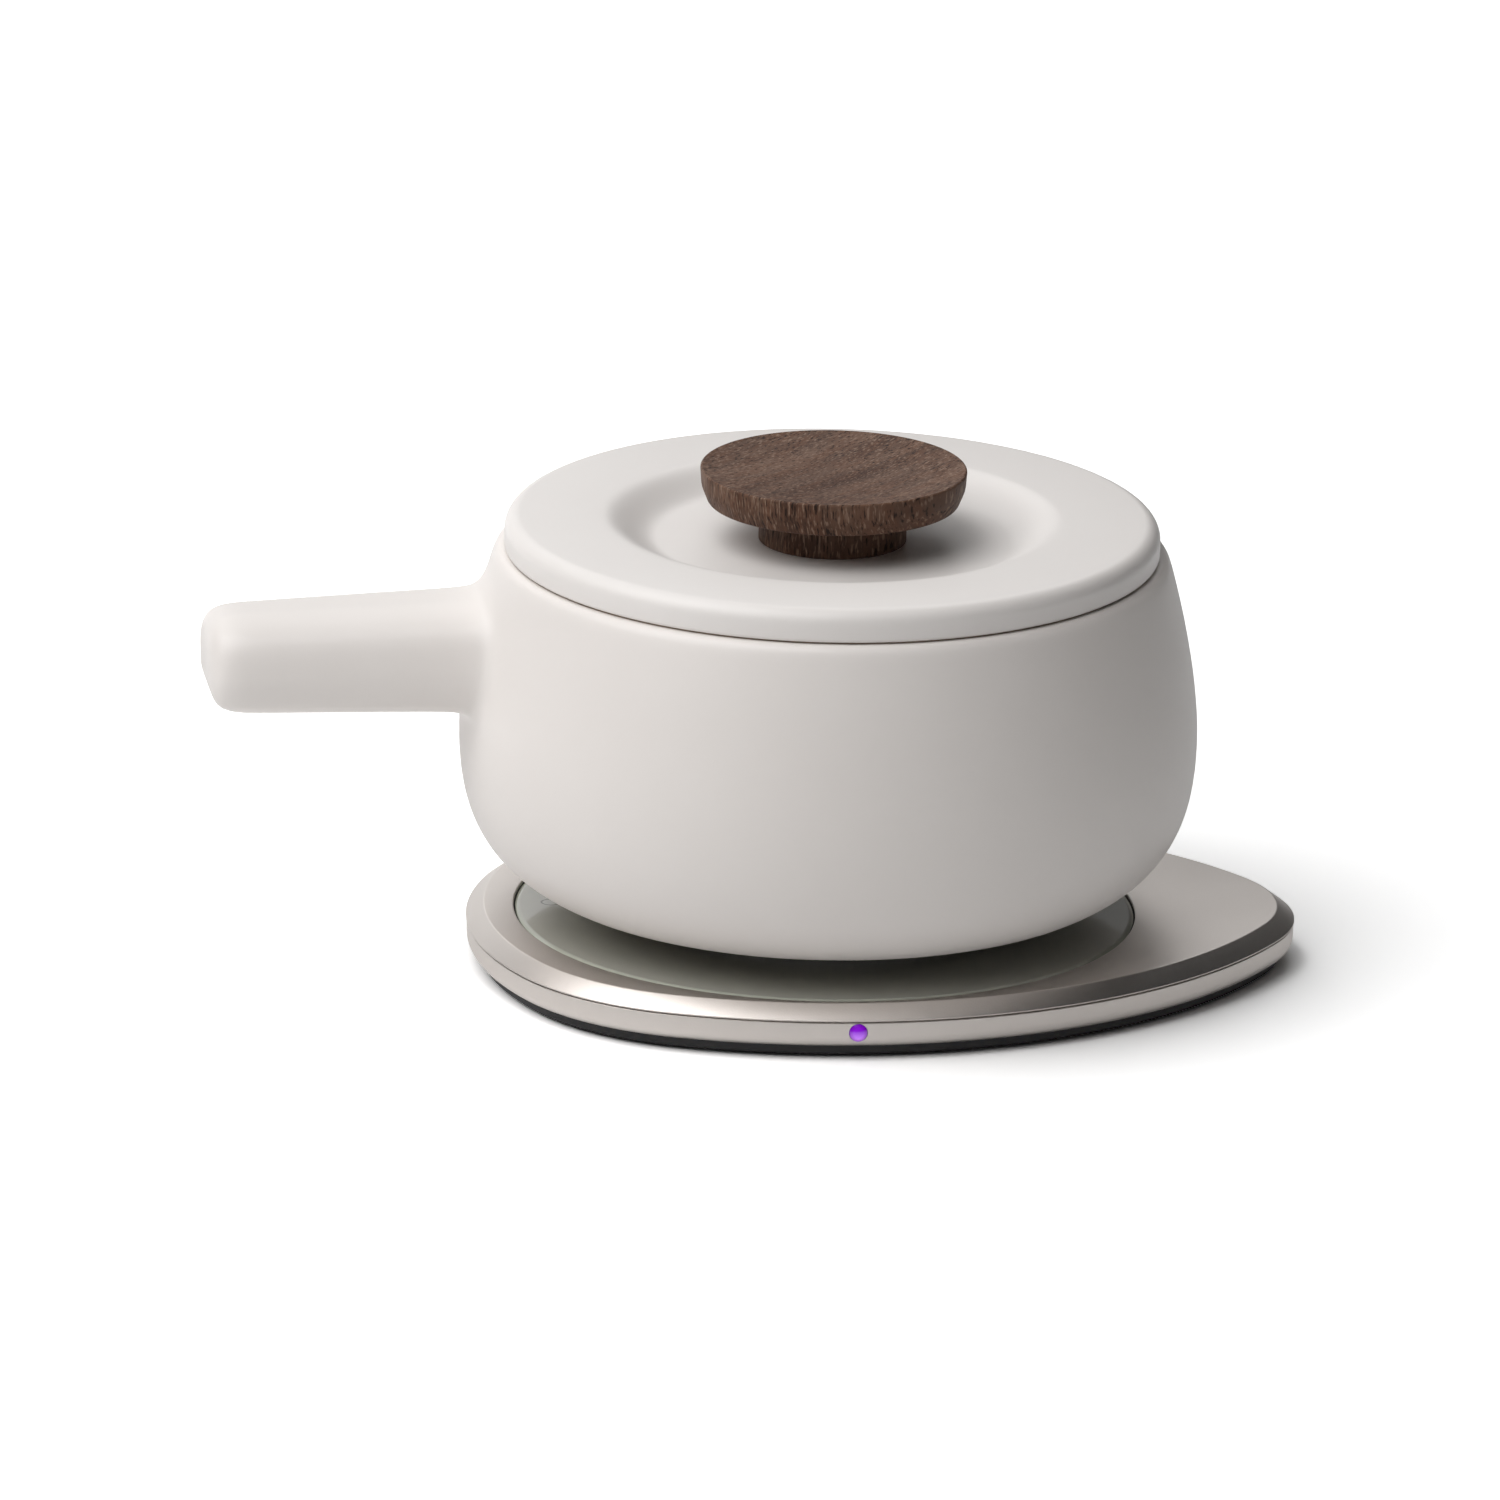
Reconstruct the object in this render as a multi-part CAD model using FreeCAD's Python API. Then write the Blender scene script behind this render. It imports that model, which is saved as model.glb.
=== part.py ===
import FreeCAD, Part
import math
import os
from FreeCAD import Vector

# A lidded ceramic saucepan that stands on a thin egg-shaped induction base.
# Millimetres, +Z up, floor at z = 0. Everything is drawn about the pan's own upright axis and
# moved along X by PAN_X at the end, so that the whole set is centred over the origin.

# ---- heights of the base, from the floor up
FOOT_TOP = 1.4
TRAY_BOTTOM = 0.8
TRAY_FLOOR = 2.0
BAND_BOTTOM = 3.4
FLANGE_TOP = 4.6
BAND_TOP = 10.0
COVER_BOTTOM = 10.4
CHAMFER_BOTTOM = 10.75
GLASS_TOP = 14.0

# ---- outline of the base: an egg of tangent arcs, wide end at the back, tip at +X
TIP_X = 75.83
TIP_R = 42.96
CORNER_X = -24.41
CORNER_Y = 16.88
CORNER_R = 61.77
SIDE_R = 130.12
REAR_R = 102.73
TIP_REACH = TIP_X + TIP_R
CHAMFER_W = 4.4

# ---- metal band round the edge
BAND_INSET = 0.25
BAND_WALL = 2.8
BAND_ROUND = 3.1
FLANGE_INSET = 9.0
GROOVE_DEPTH = 1.5
TRAY_INSET = 3.5

# ---- glass disc and its seat
GLASS_R = 77.6
GLASS_THICK = 2.3
GLASS_BEVEL = 0.5
SEAT_R = 78.0
SEAT_OPEN_R = 73.5
GASKET_THICK = 0.4

# ---- heating stack under the glass
SHIELD_R = 72.0
SHIELD_THICK = 0.8
FERRITE_SIZE = (34.0, 8.0, 2.8)
FERRITE_R0 = 18.0
FERRITE_COUNT = 6
CARRIER_R = 68.0
CARRIER_WALL = 2.0
CARRIER_FLOOR = 1.4
CARRIER_RISE = 2.8
CARRIER_HOLE_R = 6.5
WIRE_R = 1.2
COIL_R0 = 15.0
COIL_PITCH = 2.8
COIL_TURNS = 14
MICA_THICK = 0.4
SENSOR_R = 4.0

# ---- control board in the tip
BOARD_BOTTOM = 4.4
BOARD_THICK = 1.2
BOARD_INSET = 10.6
BOARD_INNER_R = 74.0
BOARD_X0 = 62.0
BOARD_SCREWS = ((82.0, 27.0), (82.0, -27.0), (103.0, 0.0))
HOLLOW_INSET = 9.6
HOLLOW_R = 80.5
HOLLOW_TOP = 12.6

# ---- screws from below: two on each rear corner arc and one on each side of the tip
SCREW_INSET = 7.0
SCREW_R = 0.8
SCREW_CLEAR_R = 1.1
SCREW_HEAD_R = 1.9
BOSS_R = 2.4
CORNER_SCREW_DEG = (105.0, 160.0)
TIP_SCREW_DEG = 35.0

# ---- feet, status light and power inlet
FOOT_R = 6.0
FEET = ((98.0, 0.0), (30.0, 66.0), (30.0, -66.0), (-64.0, 46.0), (-64.0, -46.0))
LIGHT_X = -2.0
LIGHT_Z = 7.5
LIGHT_R = 2.25
LIGHT_DOME = 0.7
INLET_DEG = 75.0
INLET_Z = 7.4
INLET_SIZE = (9.4, 3.4, 12.0)

# ---- pan: belly, rim and handle; the handle's sharp corner stands past its rounded reach
PAN_FLOOR = 18.0
BELLY_R = 92.5
BELLY_Z = 63.5
BOTTOM_FLAT_R = 39.5
LOWER_EXPONENT = 2.76
UPPER_EXPONENT = 1.57
UPPER_DRAFT = 8.0
UPPER_SPAN = 43.3
RIM_TOP = 107.6
RIM_START = 105.0
RIM_R_OUT = 82.4
RIM_R_IN = 78.6
WALL = 6.0
PLATE_R = 43.0
PLATE_SINK = 0.6
HANDLE_REACH = 157.7
HANDLE_CORNER = 157.9
HANDLE_SLANT = 0.6
HANDLE_ROOT = 80.0
HANDLE_HALF_TIP = 18.0
HANDLE_HALF_ROOT = 20.5
HANDLE_BOTTOM = 70.9
HANDLE_TOP_TIP = 94.0
HANDLE_TOP_ROOT = 96.8
HANDLE_EDGE_R = 8.0
HANDLE_BLEND_R = 5.0

# ---- lid and knob
LID_R = 82.0
LID_BOTTOM = 108.0
LID_TOP = 116.2
LID_EDGE_R = 4.0
WELL_FLOOR = 110.6
WELL_R_TOP = 56.5
WELL_R_FLOOR = 48.0
LID_UNDER = 105.4
SKIRT_R = 77.4
SKIRT_IN_R = 73.0
SKIRT_BOTTOM = 101.5
SEAL_R = 81.0
SEAL_LIP_R = 78.2
SEAL_LIP_BOTTOM = 104.0
KNOB_TOP = 129.25
KNOB_UNDER = 120.5
KNOB_R_TOP = 33.4
KNOB_R_LOW = 31.4
KNOB_FOOT_R = 18.5
KNOB_DISH = 2.4
INSERT_R = 3.2
INSERT_TOP = 121.0
KNOB_SCREW_R = 2.0
KNOB_SCREW_TOP = 119.0
KNOB_SCREW_HEAD = (4.2, 2.2)
WASHER_R = 7.0
WASHER_THICK = 0.8

# The handle reaches one way and the base's tip the other: this centres the two.
PAN_X = (HANDLE_REACH - TIP_REACH) / 2.0
UP = Vector(0.0, 0.0, 1.0)


# ------------------------------------------------------------------ helpers

def polar(centre, radius, degrees, z=0.0):
    """Point at an angle on a circle about centre, at height z."""
    a = math.radians(degrees)
    return Vector(centre.x + radius * math.cos(a), centre.y + radius * math.sin(a), z)


def arc_edge(centre, radius, deg0, deg1, z):
    """Arc edge about centre from one angle to another, at height z."""
    middle = polar(centre, radius, (deg0 + deg1) / 2.0, z)
    return Part.Arc(polar(centre, radius, deg0, z), middle, polar(centre, radius, deg1, z)).toShape()


def side_centre():
    """Centre of the long side arc on the +Y side, tangent to the tip and corner arcs."""
    tip = Vector(TIP_X, 0.0, 0.0)
    corner = Vector(CORNER_X, CORNER_Y, 0.0)
    to_tip = SIDE_R - TIP_R
    to_corner = SIDE_R - CORNER_R
    span = tip - corner
    along = (to_corner ** 2 - to_tip ** 2 + span.Length ** 2) / (2.0 * span.Length)
    across = math.sqrt(to_corner ** 2 - along ** 2)
    unit = span / span.Length
    return corner + unit * along + Vector(unit.y, -unit.x, 0.0) * across


def heading(start, end):
    """Angle in degrees of the direction from start to end."""
    return math.degrees(math.atan2(end.y - start.y, end.x - start.x))


TIP = Vector(TIP_X, 0.0, 0.0)
CORNER = Vector(CORNER_X, CORNER_Y, 0.0)
SIDE = side_centre()
REAR = Vector(CORNER_X + math.sqrt((REAR_R - CORNER_R) ** 2 - CORNER_Y ** 2), 0.0, 0.0)
TIP_DEG = heading(SIDE, TIP)
CORNER_DEG = heading(SIDE, CORNER)
REAR_DEG = heading(REAR, CORNER)


def egg(inset, z):
    """The base's outline moved inwards by inset, as a closed wire at height z."""
    upper = (
        (SIDE, SIDE_R, TIP_DEG, CORNER_DEG),
        (CORNER, CORNER_R, CORNER_DEG, REAR_DEG),
    )
    edges = [arc_edge(TIP, TIP_R - inset, -TIP_DEG, TIP_DEG, z)]
    for centre, radius, deg0, deg1 in upper:
        edges.append(arc_edge(centre, radius - inset, deg0, deg1, z))
    edges.append(arc_edge(REAR, REAR_R - inset, REAR_DEG, 360.0 - REAR_DEG, z))
    for centre, radius, deg0, deg1 in reversed(upper):
        mirrored = Vector(centre.x, -centre.y, 0.0)
        edges.append(arc_edge(mirrored, radius - inset, -deg1, -deg0, z))
    return Part.Wire(edges)


def egg_slab(inset, z0, z1):
    """Solid with the base's outline, moved in by inset, from z0 to z1."""
    return Part.Face(egg(inset, z0)).extrude(UP * (z1 - z0))


def disc(radius, z0, z1, x=0.0, y=0.0):
    """Upright cylinder."""
    return Part.makeCylinder(radius, z1 - z0, Vector(x, y, z0))


def ring(r_in, r_out, z0, z1):
    """Upright ring about the pan's axis."""
    return disc(r_out, z0, z1).cut(disc(r_in, z0 - 1.0, z1 + 1.0))


def block(x0, x1, y0, y1, z0, z1):
    """Box between two corners."""
    return Part.makeBox(x1 - x0, y1 - y0, z1 - z0, Vector(x0, y0, z0))


def line(a, b):
    """Straight edge between two points."""
    return Part.LineSegment(a, b).toShape()


def turned(edges):
    """Solid of revolution about Z from a closed chain of edges in the XZ plane."""
    return Part.Face(Part.Wire(edges)).revolve(Vector(0, 0, 0), UP, 360.0)


def profile(points):
    """Straight edges through (radius, height) pairs, closed."""
    corners = [Vector(r, 0.0, z) for r, z in points]
    return [line(a, b) for a, b in zip(corners, corners[1:] + corners[:1])]


def round_edges(solid, radius, wanted):
    """Fillet the edges that the test picks."""
    return solid.makeFillet(radius, [e for e in solid.Edges if wanted(e)])


def at_height(edge, z):
    """True when a whole edge lies at height z."""
    box = edge.BoundBox
    return abs(box.ZMin - z) < 1e-4 and abs(box.ZMax - z) < 1e-4


def tube(points, bend, radius):
    """Round wire along straight runs that are joined by arcs of radius bend."""
    corners = [Vector(*p) for p in points]
    edges = []
    start = corners[0]
    for before, corner, after in zip(corners, corners[1:], corners[2:]):
        into = (corner - before).normalize()
        out = (after - corner).normalize()
        half_turn = into.getAngle(out) / 2.0
        trim = bend * math.tan(half_turn)
        first = corner - into * trim
        last = corner + out * trim
        inward = (out - into).normalize()
        middle = corner + inward * (bend / math.cos(half_turn) - bend)
        edges.append(line(start, first))
        edges.append(Part.Arc(first, middle, last).toShape())
        start = last
    edges.append(line(start, corners[-1]))
    path = Part.Wire(edges)
    section = Part.Wire([Part.Circle(corners[0], corners[1] - corners[0], radius).toShape()])
    return path.makePipeShell([section], True, True)


def screw_places():
    """Centres of the six screws that hold tray, band and cover together."""
    places = []
    for side in (1.0, -1.0):
        for degrees in CORNER_SCREW_DEG:
            p = polar(CORNER, CORNER_R - SCREW_INSET, degrees)
            places.append((p.x, side * p.y))
        p = polar(TIP, TIP_R - SCREW_INSET, TIP_SCREW_DEG)
        places.append((p.x, side * p.y))
    return places


def at_inlet(solid):
    """Move a solid drawn along +X from the origin to the inlet's place in the edge."""
    solid = solid.copy()
    solid.rotate(Vector(0, 0, 0), UP, INLET_DEG)
    solid.translate(polar(TIP, TIP_R, INLET_DEG, INLET_Z))
    return solid


def slot_solid(width, height, x0, x1):
    """Bar along X with a rounded-slot section."""
    r = height / 2.0
    half = width / 2.0 - r
    bar = block(x0, x1, -half, half, -r, r)
    for y in (-half, half):
        bar = bar.fuse(Part.makeCylinder(r, x1 - x0, Vector(x0, y, 0.0), Vector(1, 0, 0)))
    return bar.removeSplitter()


def front_y(inset):
    """Y of the base's front edge, moved in by inset, beside the status light."""
    corner_front = Vector(CORNER_X, -CORNER_Y, 0.0)
    side_front = Vector(SIDE.x, -SIDE.y, 0.0)
    if LIGHT_X > corner_front.x:
        r = SIDE_R - inset
        return side_front.y - math.sqrt(r ** 2 - (LIGHT_X - side_front.x) ** 2)
    r = CORNER_R - inset
    return corner_front.y - math.sqrt(r ** 2 - (LIGHT_X - corner_front.x) ** 2)


# ------------------------------------------------------------------ base: casing

def top_cover():
    """Metal cover: wide sloped edge, seat for the glass, hollow tip and six screw bosses."""
    skirt = egg_slab(0.0, COVER_BOTTOM, CHAMFER_BOTTOM)
    slope = Part.makeLoft([egg(0.0, CHAMFER_BOTTOM), egg(CHAMFER_W, GLASS_TOP)], True, True)
    cover = skirt.fuse(slope)
    seat_z = GLASS_TOP - GLASS_THICK - GASKET_THICK
    cover = cover.cut(disc(SEAT_R, seat_z, GLASS_TOP + 1.0))
    cover = cover.cut(disc(SEAT_OPEN_R, COVER_BOTTOM - 1.0, GLASS_TOP))
    hollow = egg_slab(HOLLOW_INSET, COVER_BOTTOM - 1.0, HOLLOW_TOP)
    hollow = hollow.cut(disc(HOLLOW_R, COVER_BOTTOM - 2.0, GLASS_TOP))
    hollow = hollow.common(block(BOARD_X0, TIP_REACH, -TIP_R, TIP_R, 0.0, GLASS_TOP))
    cover = cover.cut(hollow)
    for x, y in screw_places():
        cover = cover.fuse(disc(BOSS_R, FLANGE_TOP, COVER_BOTTOM + 0.2, x, y))
        cover = cover.cut(disc(SCREW_R, FLANGE_TOP - 1.0, BAND_TOP, x, y))
    return cover


def glass_plate():
    """Round glass cooking plate with a small bevel round its top edge."""
    low = GLASS_TOP - GLASS_THICK
    return turned(profile((
        (0.0, low),
        (GLASS_R, low),
        (GLASS_R, GLASS_TOP - GLASS_BEVEL),
        (GLASS_R - GLASS_BEVEL, GLASS_TOP),
        (0.0, GLASS_TOP),
    )))


def glass_gasket():
    """Thin ring that beds the glass and fills the gap round it."""
    low = GLASS_TOP - GLASS_THICK - GASKET_THICK
    bed = low + GASKET_THICK
    return turned(profile((
        (SEAT_OPEN_R + 1.0, low),
        (SEAT_R, low),
        (SEAT_R, GLASS_TOP - 0.8),
        (GLASS_R, GLASS_TOP - 0.8),
        (GLASS_R, bed),
        (SEAT_OPEN_R + 1.0, bed),
    )))


def rim_band():
    """Metal band: rounded under, flanged inside, with the holes for light, inlet and screws."""
    outer = egg_slab(BAND_INSET, BAND_BOTTOM, BAND_TOP)
    outer = round_edges(outer, BAND_ROUND, lambda e: at_height(e, BAND_BOTTOM))
    band = outer.fuse(egg_slab(GROOVE_DEPTH, BAND_TOP - 0.5, COVER_BOTTOM))
    band = band.cut(egg_slab(BAND_WALL, FLANGE_TOP, COVER_BOTTOM + 1.0))
    band = band.cut(egg_slab(FLANGE_INSET, BAND_BOTTOM - 1.0, FLANGE_TOP + 1.0))
    for x, y in screw_places():
        band = band.cut(disc(SCREW_CLEAR_R, BAND_BOTTOM - 1.0, FLANGE_TOP + 1.0, x, y))
    start = Vector(LIGHT_X, front_y(-2.0), LIGHT_Z)
    band = band.cut(Part.makeCylinder(LIGHT_R, BAND_WALL + 3.0, start, Vector(0, 1, 0)))
    wide, tall, _ = INLET_SIZE
    return band.cut(at_inlet(slot_solid(wide + 0.2, tall + 0.2, -BAND_WALL - 2.0, 2.0)))


def bottom_tray():
    """Black tray that closes the base, with foot recesses, screw holes and board posts."""
    tray = egg_slab(TRAY_INSET, TRAY_BOTTOM, BAND_BOTTOM)
    tray = round_edges(tray, 1.0, lambda e: at_height(e, TRAY_BOTTOM))
    tray = tray.cut(egg_slab(FLANGE_INSET + 0.5, TRAY_FLOOR, BAND_BOTTOM + 1.0))
    for x, y in screw_places():
        tray = tray.cut(disc(SCREW_CLEAR_R, 0.0, BAND_BOTTOM + 1.0, x, y))
        tray = tray.cut(disc(SCREW_HEAD_R + 0.2, 0.0, TRAY_FLOOR, x, y))
    for x, y in FEET:
        tray = tray.cut(disc(FOOT_R, 0.0, FOOT_TOP, x, y))
    for x, y in BOARD_SCREWS:
        tray = tray.fuse(disc(BOSS_R, TRAY_FLOOR - 0.2, BOARD_BOTTOM, x, y))
        tray = tray.cut(disc(SCREW_R, TRAY_FLOOR + 0.4, BOARD_BOTTOM + 1.0, x, y))
    return tray


def rubber_feet():
    """Five round pads, each a separate solid, rounded where they meet the floor."""
    pads = []
    for x, y in FEET:
        pad = disc(FOOT_R, 0.0, FOOT_TOP, x, y)
        pads.append(round_edges(pad, 0.5, lambda e: at_height(e, 0.0)))
    return Part.makeCompound(pads)


def tray_screws():
    """Six screws from below, through tray and flange into the cover's bosses."""
    screws = []
    for x, y in screw_places():
        head = disc(SCREW_HEAD_R, TRAY_FLOOR - 1.1, TRAY_FLOOR, x, y)
        screw = head.fuse(disc(SCREW_R, TRAY_FLOOR - 0.1, BAND_TOP - 1.0, x, y))
        screws.append(screw.cut(disc(0.7, 0.0, TRAY_FLOOR - 0.6, x, y)))
    return Part.makeCompound(screws)


# ------------------------------------------------------------------ base: heating stack

FERRITE_BOTTOM = TRAY_FLOOR + SHIELD_THICK
CARRIER_BOTTOM = FERRITE_BOTTOM + FERRITE_SIZE[2]
COIL_SEAT = CARRIER_BOTTOM + CARRIER_FLOOR
MICA_BOTTOM = COIL_SEAT + CARRIER_RISE
LEAD_Z = (FERRITE_BOTTOM + CARRIER_BOTTOM) / 2.0
LEAD_Y = 3.6


def shield_plate():
    """Aluminium sheet under the coil that keeps its field out of the tray."""
    return disc(SHIELD_R, TRAY_FLOOR, FERRITE_BOTTOM)


def ferrite_bars():
    """Radial ferrite bars under the coil carrier."""
    length, width, tall = FERRITE_SIZE
    bars = []
    for k in range(FERRITE_COUNT):
        bar = block(FERRITE_R0, FERRITE_R0 + length, -width / 2.0, width / 2.0, 0.0, tall)
        bar.translate(UP * FERRITE_BOTTOM)
        bar.rotate(Vector(0, 0, 0), UP, 360.0 / FERRITE_COUNT * (k + 0.5))
        bars.append(bar)
    return Part.makeCompound(bars)


def coil_carrier():
    """Round plastic carrier: floor for the coil, rim that holds the mica, skirt on the shield."""
    carrier = disc(CARRIER_R, CARRIER_BOTTOM, COIL_SEAT)
    inner = CARRIER_R - CARRIER_WALL
    carrier = carrier.fuse(ring(inner, CARRIER_R, FERRITE_BOTTOM, MICA_BOTTOM))
    carrier = carrier.cut(disc(CARRIER_HOLE_R, 0.0, GLASS_TOP))
    for y in (-LEAD_Y, LEAD_Y):
        notch = block(inner - 2.0, CARRIER_R + 2.0, y - 2.0, y + 2.0, 0.0, CARRIER_BOTTOM)
        carrier = carrier.cut(notch)
    carrier = carrier.cut(disc(1.3, 0.0, GLASS_TOP, COIL_R0 + 1.0, -LEAD_Y))
    return carrier.cut(disc(1.3, 0.0, GLASS_TOP, 50.0, LEAD_Y))


def induction_coil():
    """Flat spiral of wire, drawn as half circles whose radius grows every half turn."""
    z = COIL_SEAT + WIRE_R + 0.05
    edges = []
    radius = COIL_R0
    centre = 0.0
    for half in range(2 * COIL_TURNS):
        deg0 = 0.0 if half % 2 == 0 else 180.0
        edges.append(arc_edge(Vector(centre, 0.0, 0.0), radius, deg0, deg0 + 180.0, z))
        shift = COIL_PITCH / 2.0
        centre += shift if half % 2 == 0 else -shift
        radius += shift
    path = Part.Wire(edges)
    section = Part.Circle(Vector(COIL_R0, 0.0, z), Vector(0, 1, 0), WIRE_R).toShape()
    return path.makePipeShell([Part.Wire([section])], True, True)


def coil_leads():
    """Two insulated leads from the coil to the board, under the carrier."""
    low = COIL_SEAT - 0.05
    high = BOARD_BOTTOM + BOARD_THICK + 1.4
    leads = []
    for x, y in ((COIL_R0 + 1.0, -LEAD_Y), (50.0, LEAD_Y)):
        route = ((x, y, low), (x, y, LEAD_Z), (71.0, y, LEAD_Z), (71.0, y, high), (76.0, y, high))
        leads.append(tube(route, 1.2, 0.9))
    return Part.makeCompound(leads)


def mica_sheet():
    """Mica sheet over the coil, with a hole for the sensor."""
    return ring(SENSOR_R + 2.0, CARRIER_R, MICA_BOTTOM, MICA_BOTTOM + MICA_THICK)


def sensor_pad():
    """Springy silicone post that presses the sensor against the glass."""
    return disc(SENSOR_R + 1.0, FERRITE_BOTTOM, MICA_BOTTOM + MICA_THICK)


def temperature_sensor():
    """Flat metal sensor cup just under the glass."""
    cup = disc(SENSOR_R, MICA_BOTTOM + MICA_THICK, GLASS_TOP - GLASS_THICK - 0.1)
    return round_edges(cup, 0.4, lambda e: at_height(e, GLASS_TOP - GLASS_THICK - 0.1))


# ------------------------------------------------------------------ base: electronics

BOARD_TOP = BOARD_BOTTOM + BOARD_THICK


def control_board():
    """Crescent circuit board that fills the tip."""
    board = egg_slab(BOARD_INSET, BOARD_BOTTOM, BOARD_TOP)
    board = board.cut(disc(BOARD_INNER_R, 0.0, GLASS_TOP))
    board = board.common(block(BOARD_X0, TIP_REACH, -TIP_R, TIP_R, 0.0, GLASS_TOP))
    for x, y in BOARD_SCREWS:
        board = board.cut(disc(SCREW_CLEAR_R, 0.0, GLASS_TOP, x, y))
    return board


def board_screws():
    """Three screws that hold the board on its posts."""
    screws = []
    for x, y in BOARD_SCREWS:
        screw = disc(SCREW_R, TRAY_FLOOR + 1.0, BOARD_TOP + 0.1, x, y)
        screws.append(screw.fuse(disc(SCREW_HEAD_R, BOARD_TOP, BOARD_TOP + 1.2, x, y)))
    return Part.makeCompound(screws)


def power_transistors():
    """Two flat power transistors that feed the coil."""
    parts = []
    for y in (-12.0, 12.0):
        parts.append(block(84.5, 91.0, y - 5.0, y + 5.0, BOARD_TOP, BOARD_TOP + 2.3))
    return Part.makeCompound(parts)


def heat_sink():
    """Finned bar on the transistors, below the metal cover."""
    base = BOARD_TOP + 2.3
    sink = block(83.5, 92.5, -19.0, 19.0, base, base + 1.2)
    for k in range(4):
        x = 83.5 + k * 2.6
        sink = sink.fuse(block(x, x + 1.2, -19.0, 19.0, base + 1.2, HOLLOW_TOP - 0.6))
    return sink.removeSplitter()


def resonant_capacitor():
    """Box-shaped film capacitor."""
    box = block(94.0, 101.0, -20.0, -5.0, BOARD_TOP, BOARD_TOP + 5.6)
    return round_edges(box, 0.6, lambda e: e.BoundBox.ZLength > 5.0)


def filter_choke():
    """Small wound ring choke lying on the board."""
    return Part.makeTorus(4.0, 2.0, Vector(99.5, 11.0, BOARD_TOP + 2.0), UP)


def controller_chip():
    """Flat controller chip."""
    return block(77.0, 83.5, 13.8, 20.3, BOARD_TOP, BOARD_TOP + 1.0)


def coil_terminals():
    """Two brass blocks that clamp the coil leads."""
    blocks = []
    for y in (-LEAD_Y, LEAD_Y):
        blocks.append(block(76.0, 81.0, y - 2.2, y + 2.2, BOARD_TOP, BOARD_TOP + 3.0))
    return Part.makeCompound(blocks)


def light_board():
    """Small upright circuit board behind the status light."""
    y = front_y(BAND_WALL) + 2.4
    return block(LIGHT_X - 5.0, LIGHT_X + 5.0, y, y + 1.0, FLANGE_TOP, COVER_BOTTOM - 0.6)


def status_led():
    """Light-emitting chip between its board and the lens."""
    y = front_y(BAND_WALL) + 0.8
    return block(LIGHT_X - 1.4, LIGHT_X + 1.4, y, y + 1.6, LIGHT_Z - 1.1, LIGHT_Z + 1.1)


def status_light_lens():
    """Clear domed plug through the band, with a flange behind the wall."""
    inward = Vector(0, 1, 0)
    flange_y = front_y(BAND_WALL) + 0.2
    face_y = front_y(BAND_INSET)
    lens = Part.makeCylinder(LIGHT_R + 0.5, 0.6, Vector(LIGHT_X, flange_y, LIGHT_Z), inward)
    stem = Vector(LIGHT_X, face_y, LIGHT_Z)
    lens = lens.fuse(Part.makeCylinder(LIGHT_R, flange_y - face_y + 0.1, stem, inward))
    ball_r = (LIGHT_R ** 2 + LIGHT_DOME ** 2) / (2.0 * LIGHT_DOME)
    ball = Part.makeSphere(ball_r, Vector(LIGHT_X, face_y - LIGHT_DOME + ball_r, LIGHT_Z))
    keep = Part.makeCylinder(LIGHT_R, LIGHT_DOME + 0.5, stem + inward * 0.2, inward * -1.0)
    return lens.fuse(ball.common(keep)).removeSplitter()


def light_cable():
    """Thin lead round the carrier from the light's board to the control board."""
    z = BOARD_TOP + 1.0
    axis = Vector(0.0, 0.0, 0.0)
    route = [(LIGHT_X, front_y(BAND_WALL) + 3.4, z)]
    for degrees in (-90.0, -75.0, -60.0, -45.0, -30.0):
        p = polar(axis, 71.2, degrees, z)
        route.append((p.x if degrees > -90.0 else LIGHT_X, p.y, z))
    route.append((73.5, -22.0, z))
    return tube(route, 3.0, 0.8)


def power_inlet():
    """Low socket in the back edge of the tip: rounded metal shell with a tongue inside."""
    wide, tall, deep = INLET_SIZE
    shell = slot_solid(wide, tall, -deep - 0.6, -0.6)
    shell = shell.cut(slot_solid(wide - 0.8, tall - 0.8, -deep + 0.4, 1.0))
    tongue = block(-deep + 0.2, -2.4, -3.2, 3.2, -0.35, 0.35)
    return at_inlet(shell.fuse(tongue))


# ------------------------------------------------------------------ pan

def belly_radius(z):
    """Outside radius of the pan at height z."""
    if z >= BELLY_Z:
        return BELLY_R - UPPER_DRAFT * ((z - BELLY_Z) / UPPER_SPAN) ** UPPER_EXPONENT
    drop = (BELLY_Z - z) / (BELLY_Z - PAN_FLOOR)
    span = BELLY_R - BOTTOM_FLAT_R
    return BOTTOM_FLAT_R + span * (1.0 - drop ** LOWER_EXPONENT) ** (1.0 / LOWER_EXPONENT)


def smooth_curve(points, first, last):
    """Smooth curve through points in the XZ plane with set directions at its two ends."""
    curve = Part.BSplineCurve()
    curve.interpolate(
        Points=[Vector(r, 0.0, z) for r, z in points],
        InitialTangent=Vector(first[0], 0.0, first[1]),
        FinalTangent=Vector(last[0], 0.0, last[1]),
    )
    return curve.toShape()


def belly_curve():
    """Outside curve of the pan from its flat bottom up to where the rim rounds in."""
    span = BELLY_R - BOTTOM_FLAT_R
    points = []
    for k in range(9):
        a = math.radians(90.0 * k / 8.0)
        r = BOTTOM_FLAT_R + span * math.sin(a) ** (2.0 / LOWER_EXPONENT)
        z = BELLY_Z - (BELLY_Z - PAN_FLOOR) * math.cos(a) ** (2.0 / LOWER_EXPONENT)
        points.append((r, z))
    for k in range(1, 6):
        z = BELLY_Z + (RIM_START - BELLY_Z) * k / 5.0
        points.append((belly_radius(z), z))
    slope = (points[-1][0] - points[-2][0]) / (points[-1][1] - points[-2][1])
    return smooth_curve(points, (1.0, 0.0), (slope * 1.3, 1.0)), points[-1]


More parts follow.
